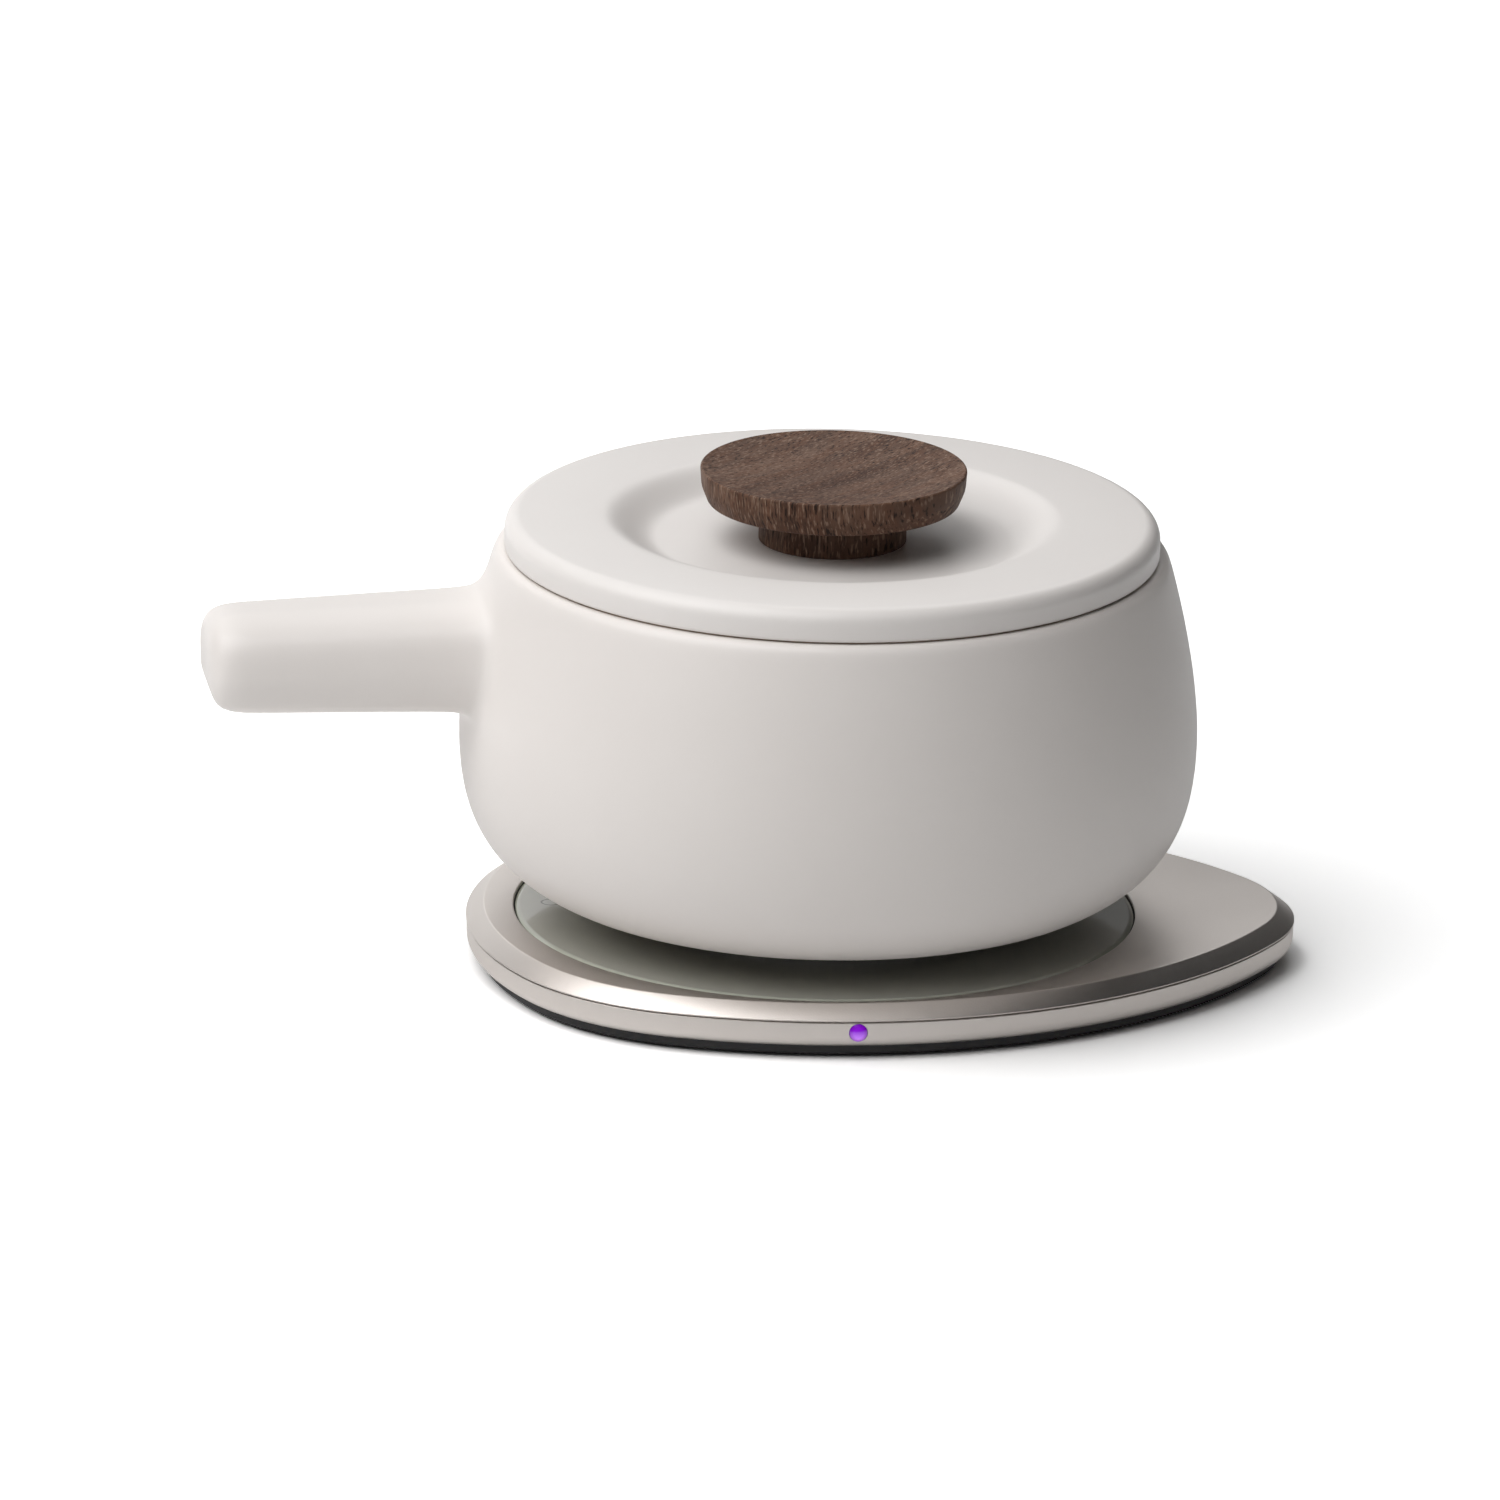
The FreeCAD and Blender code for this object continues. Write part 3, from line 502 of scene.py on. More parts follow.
@dataclass(frozen=True)
class Finish:
    """A surface with mottled colour and fine grain. Scales are in cycles per metre."""

    name: str
    colour: Colour
    tint: Colour
    roughness: float
    metallic: float = 0.0
    mottle_scale: float = 30.0
    mottle: float = 0.6
    grain_scale: float = 2500.0
    grain: float = 1.0
    roughness_spread: float = 0.12
    bump_mm: float = 0.02
    coat: float = 0.0
    coat_roughness: float = 0.1
    specular: float = 0.5

    def grained(self, sheet: NodeSheet, where: bpy.types.NodeSocket) -> bpy.types.Node:
        """Place the shared grain group with this finish's values.

        Args:
            sheet: the material's nodes.
            where: coordinate to read.

        Returns:
            The group node.
        """
        node = sheet.add("Group", node_tree=grain_group())
        sheet.tree.links.new(where, node.inputs["Vector"])
        values = {
            "Colour": rgba(self.colour), "Tint": rgba(self.tint), "Mottle Scale": self.mottle_scale,
            "Mottle": self.mottle, "Grain Scale": self.grain_scale, "Grain": self.grain,
            "Roughness": self.roughness, "Roughness Spread": self.roughness_spread,
        }
        for name, value in values.items():
            node.inputs[name].default_value = value
        return node

    def surface(self, sheet: NodeSheet, colour: Any, rough: Any, height: Any) -> bpy.types.Node:
        """Add the surface shader and its bump.

        Args:
            sheet: the material's nodes.
            colour: link for the base colour.
            rough: link for the roughness.
            height: link for the bump's height.

        Returns:
            The Principled shader node.
        """
        bump = sheet.add("Bump", {"Height": height, "Distance": self.bump_mm * MM, "Strength": 1.0})
        shader = sheet.add("BsdfPrincipled", {
            "Base Color": colour, "Roughness": rough, "Normal": bump.outputs[0],
            "Metallic": self.metallic, "Coat Weight": self.coat,
            "Coat Roughness": self.coat_roughness, "Specular IOR Level": self.specular,
        })
        output = sheet.tree.nodes.new("ShaderNodeOutputMaterial")
        sheet.tree.links.new(shader.outputs[0], output.inputs[0])
        return shader

    def blank(self) -> tuple[bpy.types.Material, NodeSheet]:
        """Start an empty node material.

        Returns:
            The material, under this finish's name, and the sheet of its nodes.
        """
        material = bpy.data.materials.new(self.name)
        material.use_nodes = True
        material.node_tree.nodes.clear()
        return material, NodeSheet(material.node_tree)

    def build(self) -> bpy.types.Material:
        """Build the material.

        Returns:
            The finished material.
        """
        material, sheet = self.blank()
        grained = self.grained(sheet, sheet.place()).outputs
        self.surface(sheet, grained["Colour"], grained["Roughness"], grained["Height"])
        return material


@dataclass(frozen=True)
class TurnedMetal(Finish):
    """Metal with fine rings from the lathe about the pan's axis."""

    rings_per_metre: float = 1100.0
    ring_roughness: float = 0.08

    def build(self) -> bpy.types.Material:
        """Build the material, with rings in its height and roughness.

        Returns:
            The finished material.
        """
        material, sheet = self.blank()
        where = sheet.place()
        grained = self.grained(sheet, where)
        rings = sheet.add(
            "TexWave", {"Vector": where, "Scale": self.rings_per_metre, "Distortion": 0.6, "Detail": 2.0},
            wave_type="RINGS", rings_direction="Z",
        )
        height = sheet.math("ADD", rings.outputs["Fac"], grained.outputs["Height"])
        ringed = sheet.math("MULTIPLY", rings.outputs["Fac"], self.ring_roughness)
        rough = sheet.math("ADD", grained.outputs["Roughness"], ringed)
        self.surface(sheet, grained.outputs["Colour"], rough, height)
        return material


@dataclass(frozen=True)
class PlateGlass(Finish):
    """Back-painted glass whose edge shows the green of its thickness."""

    edge_colour: Colour = (0.50, 0.54, 0.44)
    print_colour: Colour = (0.16, 0.16, 0.15)
    radius: float = 77.6
    edge_width: float = 1.3
    mark_left: float = 68.0
    mark_back: float = 8.84
    mark_radius: float = 2.4
    mark_line: float = 0.35
    mark_core: float = 0.14

    def build(self) -> bpy.types.Material:
        """Build the material, tinted towards the rim and printed with a small ring.

        Returns:
            The finished material.
        """
        material, sheet = self.blank()
        grained = self.grained(sheet, sheet.place())
        flat = sheet.place(scale=(1.0, 1.0, 0.0))
        away = sheet.add("VectorMath", {0: flat}, operation="LENGTH").outputs["Value"]
        rim = sheet.spread(away, (self.radius - self.edge_width) * MM, self.radius * MM)
        mark = (-self.mark_left * MM, self.mark_back * MM, 0.0)
        gap = sheet.add("VectorMath", {0: flat, 1: mark}, operation="DISTANCE").outputs["Value"]
        off_line = sheet.math("ABSOLUTE", sheet.math("SUBTRACT", gap, self.mark_radius * MM))
        printed = sheet.spread(off_line, self.mark_line * MM, self.mark_core * MM)
        marked = sheet.mix(printed, grained.outputs["Colour"], rgba(self.print_colour))
        colour = sheet.mix(rim, marked, rgba(self.edge_colour))
        self.surface(sheet, colour, grained.outputs["Roughness"], grained.outputs["Height"])
        return material


@dataclass(frozen=True)
class Walnut(Finish):
    """Oiled walnut: wandering growth bands, long fibres, pale flecks and open pores."""

    dark: Colour = (0.012, 0.006, 0.004)
    pale: Colour = (0.155, 0.092, 0.064)
    fleck: Colour = (0.27, 0.18, 0.13)
    grain_way: Grain = Grain.ACROSS_TOP
    turn_deg: float = 0.0
    fibre_share: float = 0.65
    fleck_share: float = 0.7
    pore_share: float = 0.85

    def build(self) -> bpy.types.Material:
        """Build the material for faces that show this run of the grain.

        Returns:
            The finished material.
        """
        material, sheet = self.blank()
        bands_at, fibres_at, pores_at = (
            sheet.place(scale, self.turn_deg) for scale in self.grain_way.scales()
        )
        bands = sheet.add("TexNoise", {"Vector": bands_at, "Scale": 1.0, "Detail": 4.0, "Distortion": 0.9})
        fibres = sheet.add("TexNoise", {"Vector": fibres_at, "Scale": 1.0, "Detail": 4.0})
        pores = sheet.add("TexNoise", {"Vector": pores_at, "Scale": 1.0, "Detail": 2.0})
        band_mask = sheet.spread(bands.outputs[0], 0.34, 0.64)
        base = sheet.mix(band_mask, rgba(self.colour), rgba(self.pale))
        fibre_mask = sheet.spread(fibres.outputs[0], 0.40, 0.68, 0.0, self.fibre_share)
        fibred = sheet.mix(fibre_mask, base, rgba(self.tint))
        fleck_mask = sheet.spread(pores.outputs[0], 0.44, 0.34, 0.0, self.fleck_share)
        flecked = sheet.mix(fleck_mask, fibred, rgba(self.fleck))
        pore_mask = sheet.spread(pores.outputs[0], 0.585, 0.66)
        colour = sheet.mix(sheet.math("MULTIPLY", pore_mask, self.pore_share), flecked, rgba(self.dark))
        rough = sheet.math("ADD", sheet.math("MULTIPLY", fibres.outputs[0], 0.2), self.roughness - 0.1)
        relief = sheet.math("SUBTRACT", sheet.math("MULTIPLY", fibres.outputs[0], 0.5), pore_mask)
        self.surface(sheet, colour, rough, relief)
        return material


@dataclass(frozen=True)
class LitLens(Finish):
    """Clear violet plastic lit from behind, brightest at its middle, its lower part paler with a painted
    reflection of the floor.
    """

    glow: Colour = (0.16, 0.0, 0.46)
    # Paler glow that paints the floor's reflection in the lens's lower part.
    floor_reflection_glow: Colour = (0.60, 0.27, 0.90)
    glow_strength: float = 0.8
    centre: Corner = (0.0, 0.0, 0.0)
    radius: float = 2.25
    floor_reflection_low: float = -0.7
    floor_reflection_high: float = 0.25
    core: float = 0.55
    rim: float = 1.1
    rim_glow: float = 0.25

    def build(self) -> bpy.types.Material:
        """Build the material, its glow paler below as a painted reflection of the floor, and fading towards
        the rim.

        Returns:
            The finished material.
        """
        material, sheet = self.blank()
        grained = self.grained(sheet, sheet.place())
        shader = self.surface(
            sheet, grained.outputs["Colour"], grained.outputs["Roughness"], grained.outputs["Height"]
        )
        where = sheet.add("TexCoord").outputs["Object"]
        away = sheet.add("VectorMath", {0: where, 1: self.centre}, operation="DISTANCE").outputs["Value"]
        height = sheet.add("SeparateXYZ", {0: where}).outputs[2]
        reach = self.radius * MM
        middle_z = self.centre[2]
        # Painted reflection: the glow turns paler towards the bottom, in place of the floor mirrored in the
        # glossy lens.
        glow_over_reflection = sheet.spread(height, middle_z + self.floor_reflection_low * reach, middle_z + self.floor_reflection_high * reach)
        glow_with_painted_reflection = sheet.mix(glow_over_reflection, rgba(self.floor_reflection_glow), rgba(self.glow))
        inner = sheet.spread(away, self.core * reach, self.rim * reach, 1.0, self.rim_glow)
        glow = sheet.mix(inner, rgba((0.0, 0.0, 0.0)), glow_with_painted_reflection)
        sheet.tree.links.new(glow, shader.inputs["Emission Color"])
        shader.inputs["Emission Strength"].default_value = self.glow_strength
        return material


# ---------------------------------------------------------------------------
# Sub-assemblies
# ---------------------------------------------------------------------------


@dataclass
class InductionBase:
    """The thin egg-shaped base. Millimetres."""

    outline: EggOutline = field(default_factory=EggOutline)
    cover_bottom: float = 10.4
    band_top: float = 10.0
    band_bottom: float = 3.4
    band_inset: float = 0.25
    band_round: float = 3.1
    band_wall: float = 2.8
    groove_depth: float = 1.5
    flange_inset: float = 9.0
    flange_top: float = 4.6
    chamfer_width: float = 4.4
    chamfer_bottom: float = 10.75
    glass_top: float = 14.0
    glass_thick: float = 2.3
    glass_radius: float = 77.6
    seat_radius: float = 78.0
    seat_open_radius: float = 73.5
    seat_top: float = 11.3
    light_radius: float = 2.25
    light_dome: float = 0.7
    inlet_deg: float = 75.0
    inlet_size: tuple[float, float] = (9.6, 3.6)
    lower_edge_r: float = 0.18
    chamfer_edge_r: float = 0.16
    chamfer_top_r: float = 0.9
    seat_edge_r: float = 0.25
    seat_corner_r: float = 0.1
    band_edge_r: float = 0.22
    bore_gap: float = 0.12
    cut_depth: float = 12.0
    glass_foot_r: float = 0.2
    glass_side: float = 0.7
    glass_bevel: float = 1.1
    lens_flange: float = 0.4
    lens_flange_thick: float = 0.6
    dome_steps: int = 8

    satin: Finish = Finish(
        "satin_nickel", (0.69, 0.645, 0.61), (0.74, 0.695, 0.66), 0.40, metallic=1.0,
        mottle_scale=24.0, grain_scale=2200.0, bump_mm=0.03, roughness_spread=0.10,
    )
    glass: Finish = PlateGlass(
        "plate_glass", (0.42, 0.42, 0.37), (0.45, 0.45, 0.40), 0.07, mottle_scale=40.0,
        roughness_spread=0.03, bump_mm=0.0008, grain_scale=300.0, specular=0.6,
    )

    def build(self) -> None:
        """Build every new piece of the base and dress the carried-over ones."""
        satin = self.satin.build()
        self.cover(satin)
        self.band(satin)
        self.glass_disc()
        self.lens()
        self.dress_nodes()

    def cover(self, satin: bpy.types.Material) -> bpy.types.Object:
        """The metal cover: sloped edge, flat top and the seat for the glass.

        Args:
            satin: the metal's material.

        Returns:
            The cover.
        """
        lead = 1.0
        outer = rounded((
            (lead, self.cover_bottom, 0.0),
            (0.0, self.cover_bottom, self.lower_edge_r),
            (0.0, self.chamfer_bottom, self.chamfer_edge_r),
            (self.chamfer_width, self.glass_top, self.chamfer_top_r),
            (self.chamfer_width + lead, self.glass_top, 0.0),
        ))
        inner = rounded((
            (self.seat_radius + 2.0 * self.seat_edge_r, self.glass_top, 0.0),
            (self.seat_radius, self.glass_top, self.seat_edge_r),
            (self.seat_radius, self.seat_top, self.seat_corner_r),
            (self.seat_open_radius, self.seat_top, self.seat_corner_r),
            (self.seat_open_radius, self.cover_bottom, 0.0),
        ))
        loops = [self.outline.loop(inset, z) for inset, z in outer[1:-1]]
        loops += [self.outline.round_loop(r, z) for r, z in inner]
        obj = make_object(swept(loops), "cover_shell", sharp_deg=50.0)
        return fit(dress(obj, satin), Body.BASE, "satin_metal", "top_cover")

    def band(self, satin: bpy.types.Material) -> bpy.types.Object:
        """The bullnose band, with holes for the light and the socket.

        Args:
            satin: the metal's material.

        Returns:
            The band.
        """
        section = rounded((
            (self.groove_depth, self.band_top, 0.0),
            (self.band_inset, self.band_top, self.band_edge_r),
            (self.band_inset, self.band_bottom, self.band_round),
            (self.flange_inset, self.band_bottom, 0.0),
            (self.flange_inset, self.flange_top, 0.0),
            (self.band_wall, self.flange_top, 0.0),
            (self.band_wall, self.cover_bottom, 0.0),
            (self.groove_depth, self.cover_bottom, 0.0),
        ), steps=8)
        loops = [self.outline.loop(inset, z) for inset, z in section]
        obj = make_object(swept(loops), "rim_band_shell")
        carve(obj, (self.light_cutter(), self.inlet_cutter()))
        return fit(dress(obj, satin), Body.BASE, "satin_metal", "rim_band")

    def light_cutter(self) -> bpy.types.Object:
        """A short bar through the band where the light sits.

        Returns:
            The cutter.
        """
        centre = middle("status_light_lens")
        bore = (self.light_radius + self.bore_gap) * MM
        turn = Matrix.Translation(centre) @ Matrix.Rotation(math.radians(90.0), 4, "X")
        bm = bmesh.new()
        bmesh.ops.create_cone(
            bm, cap_ends=True, segments=40, radius1=bore, radius2=bore,
            depth=self.cut_depth * MM, matrix=turn,
        )
        return make_object(bm, "light_cutter")

    def inlet_cutter(self) -> bpy.types.Object:
        """A flat bar with round ends through the band where the socket sits.

        Returns:
            The cutter.
        """
        width, tall = self.inlet_size
        angle = math.radians(self.inlet_deg)
        tip = Vector((self.outline.tip_x, 0.0, middle("power_inlet").z / MM))
        out = Vector((math.cos(angle), math.sin(angle), 0.0))
        centre = PAN_AXIS + (tip + out * self.outline.tip_r) * MM
        bm = bmesh.new()
        block = Matrix.Diagonal((self.cut_depth * MM, width * MM, tall * MM, 1.0))
        bmesh.ops.create_cube(bm, size=1.0, matrix=block)
        ends = [e for e in bm.edges if abs(e.verts[0].co.x - e.verts[1].co.x) > MM]
        bmesh.ops.bevel(
            bm, geom=ends, offset=tall * 0.49 * MM, affect="EDGES", segments=6, profile=0.5, material=-1
        )
        bmesh.ops.transform(
            bm, matrix=Matrix.Translation(centre) @ Matrix.Rotation(angle, 4, "Z"), verts=bm.verts
        )
        return make_object(bm, "inlet_cutter")

    def glass_disc(self) -> bpy.types.Object:
        """The glass plate, with a soft bevel round its top edge.

        Returns:
            The glass.
        """
        low = self.glass_top - self.glass_thick
        section = rounded((
            (0.0, low, 0.0),
            (self.glass_radius, low, self.glass_foot_r),
            (self.glass_radius, self.glass_top - self.glass_side, 0.5),
            (self.glass_radius - self.glass_bevel, self.glass_top, 1.2),
            (0.0, self.glass_top, 0.0),
        ))
        obj = make_object(turned(section, 192), "glass_disc", sharp_deg=60.0)
        return fit(dress(obj, self.glass.build()), Body.BASE, "cooking_glass", "glass_plate")

    def lens(self) -> bpy.types.Object:
        """The domed violet lens in the band.

        Returns:
            The lens.
        """
        low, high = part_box("status_light_lens")
        centre = (low + high) / 2.0
        deep = (high.y - low.y) / MM
        r = self.light_radius
        shoulder = deep - self.lens_flange_thick
        section = rounded((
            (0.0, deep, 0.0),
            (r + self.lens_flange, deep, 0.1),
            (r + self.lens_flange, shoulder, 0.0),
            (r, shoulder, 0.0),
            (r, self.light_dome, 0.0),
        ))
        ball = (r ** 2 + self.light_dome ** 2) / (2.0 * self.light_dome)
        reach = math.asin(r / ball)
        for k in range(1, self.dome_steps + 1):
            angle = reach * (1.0 - k / self.dome_steps)
            section.append((ball * math.sin(angle), ball - ball * math.cos(angle)))
        bm = bmesh.new()
        verts = [bm.verts.new((radius * MM, 0.0, height * MM)) for radius, height in section]
        edges = [bm.edges.new(pair) for pair in zip(verts, verts[1:])]
        bmesh.ops.spin(
            bm, geom=verts + edges, cent=(0, 0, 0), axis=(0, 0, 1), angle=math.tau, steps=48, use_merge=True
        )
        face = Vector((centre.x, low.y, centre.z))
        turn = Matrix.Translation(face) @ Matrix.Rotation(math.radians(-90.0), 4, "X")
        bmesh.ops.transform(bm, matrix=turn, verts=bm.verts)
        obj = make_object(bm, "status_lens")
        lit = LitLens(
            "violet_lens", (0.17, 0.0, 0.42), (0.20, 0.01, 0.46), 0.06, centre=tuple(face), radius=r,
            bump_mm=0.001, roughness_spread=0.02, coat=0.6, coat_roughness=0.04,
        )
        return fit(dress(obj, lit.build()), Body.BASE, "violet_light", "status_light_lens")

    def dress_nodes(self) -> None:
        """Give the base's carried-over CAD nodes their finishes."""
        nodes = frame["nodes"]
        # The tray is black moulding, and its near-black also paints the shade under the band's rounded
        # underside.
        black = Finish("black_tray_and_painted_underside_shade", (0.012, 0.012, 0.013), (0.02, 0.02, 0.021), 0.55, grain_scale=1800.0)
        rubber = Finish("foot_rubber", (0.016, 0.016, 0.016), (0.028, 0.027, 0.026), 0.8, grain_scale=1500.0)
        aluminium = Finish(
            "mill_aluminium", (0.60, 0.61, 0.62), (0.68, 0.68, 0.69), 0.35, metallic=1.0, grain_scale=1500.0
        )
        screw = Finish("zinc_screw", (0.52, 0.53, 0.55), (0.60, 0.60, 0.58), 0.3, metallic=1.0)
        copper = Finish(
            "enamelled_copper", (0.62, 0.24, 0.10), (0.70, 0.30, 0.13), 0.3, metallic=1.0, coat=0.5
        )
        brass = Finish("brass_block", (0.66, 0.47, 0.20), (0.72, 0.53, 0.26), 0.3, metallic=1.0)
        ferrite = Finish("ferrite", (0.035, 0.035, 0.04), (0.06, 0.06, 0.065), 0.6, mottle_scale=300.0)
        natural = Finish("natural_plastic", (0.62, 0.58, 0.48), (0.68, 0.64, 0.54), 0.5)
        sleeve = Finish("glass_sleeve", (0.58, 0.58, 0.52), (0.70, 0.70, 0.64), 0.85, grain_scale=1200.0)
        mica = Finish(
            "mica", (0.36, 0.30, 0.20), (0.50, 0.43, 0.30), 0.3, mottle_scale=180.0, mottle=1.0, coat=0.4
        )
        silicone = Finish("grey_silicone", (0.30, 0.30, 0.29), (0.36, 0.36, 0.35), 0.6)
        board = Finish(
            "board_green", (0.008, 0.085, 0.03), (0.02, 0.14, 0.05), 0.3,
            mottle_scale=260.0, mottle=1.0, coat=0.5,
        )
        chip = Finish("chip_black", (0.012, 0.012, 0.014), (0.03, 0.03, 0.032), 0.45)
        film = Finish("capacitor_blue", (0.02, 0.08, 0.32), (0.03, 0.11, 0.40), 0.35, coat=0.3)
        inlet = Finish("inlet_steel", (0.30, 0.30, 0.31), (0.38, 0.38, 0.39), 0.32, metallic=1.0)
        led = LitLens(
            "led_chip", (0.5, 0.35, 0.7), (0.6, 0.4, 0.8), 0.3, centre=tuple(middle("status_led")),
            glow=(0.45, 0.05, 1.0), glow_strength=4.0,
        )
        wanted = {
            black: ("bottom_tray",),
            rubber: ("rubber_feet", "glass_gasket"),
            aluminium: ("shield_plate", "heat_sink", "temperature_sensor"),
            screw: ("tray_screws", "board_screws"),
            copper: ("induction_coil", "filter_choke"),
            brass: ("coil_terminals",),
            ferrite: ("ferrite_bars",),
            natural: ("coil_carrier",),
            sleeve: ("coil_leads", "light_cable"),
            mica: ("mica_sheet",),
            silicone: ("sensor_pad",),
            board: ("control_board", "light_board"),
            chip: ("power_transistors", "controller_chip"),
            film: ("resonant_capacitor",),
            inlet: ("power_inlet",),
            led: ("status_led",),
        }
        for finish, names in wanted.items():
            material = finish.build()
            for name in names:
                dress(nodes[name], material)
                LOG.info("%s dressed in %s", name, finish.name)


@dataclass(frozen=True)
class Station:
    """One section of the handle's control shape. Millimetres.

    It stands out from the plain bar by grow. Its x counts from the pan's axis, or from the belly
    where it hugs the belly's curve. A leaning section follows the slant of the end face.
    """

    grow: float
    x: float
    hugs: bool = False
    leans: bool = False


@dataclass
class Saucepan:
    """The ceramic pan with its handle, and the steel plate it stands on. Millimetres."""

    floor: float = 18.0
    belly_r: float = 92.5
    belly_z: float = 63.5
    flat_r: float = 39.5
    lower_power: float = 2.76
    upper_power: float = 1.57
    upper_draft: float = 8.0
    upper_span: float = 43.3
    rim_top: float = 107.6
    rim_in: float = 78.6
    plate_r: float = 43.0
    plate_top: float = 18.6
    plate_bottom: float = 14.0
    pip_r: float = 3.0
    pip_deep: float = 0.35
    segments: int = 60
    patch_columns: int = 6
    patch_heights: tuple[float, ...] = (65.5, 75.0, 85.0, 94.5, 103.0)
    handle_reach: float = 157.7
    handle_slant: float = 0.6
    handle_root: float = 80.0
    half_tip: float = 18.0
    half_root: float = 20.5
    handle_bottom: float = 70.9
    top_tip: float = 94.6
    top_root: float = 98.0
    edge_r: float = 8.0
    top_edge_r: float = 13.0
    corner_pull: float = 0.19
    patch_lift: float = 2.2
    patch_narrow: float = 0.93

    glaze: Finish = Finish(
        "satin_glaze", (0.765, 0.722, 0.692), (0.79, 0.75, 0.72), 0.46, mottle_scale=14.0,
        grain_scale=900.0, bump_mm=0.010, roughness_spread=0.10, coat=0.15, coat_roughness=0.25,
    )

    def belly(self, z: float) -> float:
        """Outside radius at a height.

        Args:
            z: height in millimetres.

        Returns:
            Radius in millimetres.
        """
        if z >= self.belly_z:
            glow_over_reflection = (z - self.belly_z) / self.upper_span
            return self.belly_r - self.upper_draft * glow_over_reflection ** self.upper_power
        drop = (self.belly_z - z) / (self.belly_z - self.floor)
        swell = (1.0 - drop ** self.lower_power) ** (1.0 / self.lower_power)
        return self.flat_r + (self.belly_r - self.flat_r) * swell

    def section(self) -> list[Point]:
        """Control section of the pan.

        Returns:
            Points from the seat's middle, up the outside, over the rim and down to the floor's middle.
        """
        seat = self.plate_r + 0.15
        points = [
            (0.0, self.plate_top), (20.0, self.plate_top), (38.0, self.plate_top),
            (seat - 0.6, self.plate_top), (seat, self.plate_top - 0.1), (seat + 0.1, self.floor + 0.25),
            (seat + 0.7, self.floor + 0.02), (seat + 2.5, self.floor + 0.03),
        ]
        span = self.belly_r - self.flat_r
        for k in range(4, 14):
            a = math.radians(90.0 * k / 14.0)
            points.append((
                self.flat_r + span * math.sin(a) ** (2.0 / self.lower_power),
                self.belly_z - (self.belly_z - self.floor) * math.cos(a) ** (2.0 / self.lower_power),
            ))
        points += [(self.belly(z), z) for z in (self.belly_z - 4.0, *self.patch_heights)]
        points += [
            (self.belly(105.3) - 0.05, 105.3), (84.15, 106.7), (83.1, 107.45), (82.1, self.rim_top),
            (80.4, self.rim_top), (79.4, 107.45), (78.75, 106.9), (self.rim_in, 105.8),
            (self.rim_in, 102.5), (self.rim_in + 0.2, 99.0), (80.2, 94.0), (82.6, 87.0), (84.6, 80.0),
            (86.0, 72.0), (86.5, 63.5), (86.0, 56.0), (84.0, 48.0), (80.0, 40.5), (74.0, 34.2),
            (66.0, 29.4), (56.0, 26.2), (45.0, 24.6), (35.0, 24.0), (18.0, 24.0), (0.0, 24.0),
        ]
        return points

    def patch_place(self, vert: bmesh.types.BMVert) -> tuple[int, int] | None:
        """Column and row of a belly vertex in the patch that the handle grows from.

        Args:
            vert: a vertex of the turned pan.

        Returns:
            (column, row), or None outside the patch.
        """
        p = (vert.co - PAN_AXIS) / MM
        if math.hypot(p.x, p.y) < self.belly(p.z) - 1.5 or p.x > 0.0:
            return None
        angle = math.degrees(math.atan2(-p.y, -p.x))
        column = round(angle / (360.0 / self.segments)) + self.patch_columns // 2
        rows = [k for k, z in enumerate(self.patch_heights) if abs(p.z - z) < 0.2]
        if not rows or not 0 <= column <= self.patch_columns:
            return None
        return column, rows[0]

    def handle_point(self, column: int, row: int, station: Station) -> Vector:
        """Place of one handle vertex.

        Args:
            column: place across the handle.
            row: place up the handle.
            station: the section that it belongs to.

        Returns:
            The point in metres.
        """
        grow, x = station.grow, station.x
        reach = self.belly_r + x if station.hugs else x
        share = max(0.0, min(1.0, (reach - self.handle_root) / (self.handle_reach - self.handle_root)))
        half = self.half_root + (self.half_tip - self.half_root) * share + grow
        top = self.top_root + (self.top_tip - self.top_root) * share + grow
        bottom = self.handle_bottom - grow
        low_r = max(self.edge_r + grow, 0.4)
        high_r = max(self.top_edge_r + grow, 0.4)
        last_column, last_row = self.patch_columns, len(self.patch_heights) - 1
        r = low_r + (high_r - low_r) * row / last_row
        y = (half - r) * (2.0 * (column - 1) / (last_column - 2) - 1.0)
        height = bottom + low_r + (top - high_r - bottom - low_r) * (row - 1) / (last_row - 2)
        at_side, at_end = column in (0, last_column), row in (0, last_row)
        if at_side:
            y = math.copysign(half - (self.corner_pull * r if at_end else 0.0), column - 1)
        if at_end:
            pull = self.corner_pull * r if at_side else 0.0
            height = bottom + pull if row == 0 else top - pull
        if station.hugs:
            around = math.sqrt(max(self.belly(height) ** 2 - y ** 2, 0.0))
            x = around + x
        if station.leans:
            x -= self.handle_slant * (top - height) / (top - bottom)
        return PAN_AXIS + Vector((-x, -y, height)) * MM

    def pan(self) -> bpy.types.Object:
        """The pan: a turned wall, with the handle drawn out of a patch of its side.

        Returns:
            The pan.
        """
        bm = turned(self.section(), self.segments)
        bmesh.ops.recalc_face_normals(bm, faces=bm.faces)
        places = {v: self.patch_place(v) for v in bm.verts}
        region = [f for f in bm.faces if all(places.get(v) is not None for v in f.verts)]
        stations = self.stations()
        levels = []
        for _ in stations:
            made = bmesh.ops.extrude_face_region(bm, geom=region)["geom"]
            bmesh.ops.delete(bm, geom=[f for f in region if f.is_valid], context="FACES")
            fresh = [v for v in made if isinstance(v, bmesh.types.BMVert)]
            region = [f for f in made if isinstance(f, bmesh.types.BMFace)]
            levels.append([(v, self.patch_place(v)) for v in fresh])
        for vert, place in places.items():
            if vert.is_valid and place is not None and self.is_patch_corner(place):
                self.draw_in(vert)
        for station, level in zip(stations, levels):
            for vert, place in level:
                if vert.is_valid:
                    vert.co = self.handle_point(*place, station)
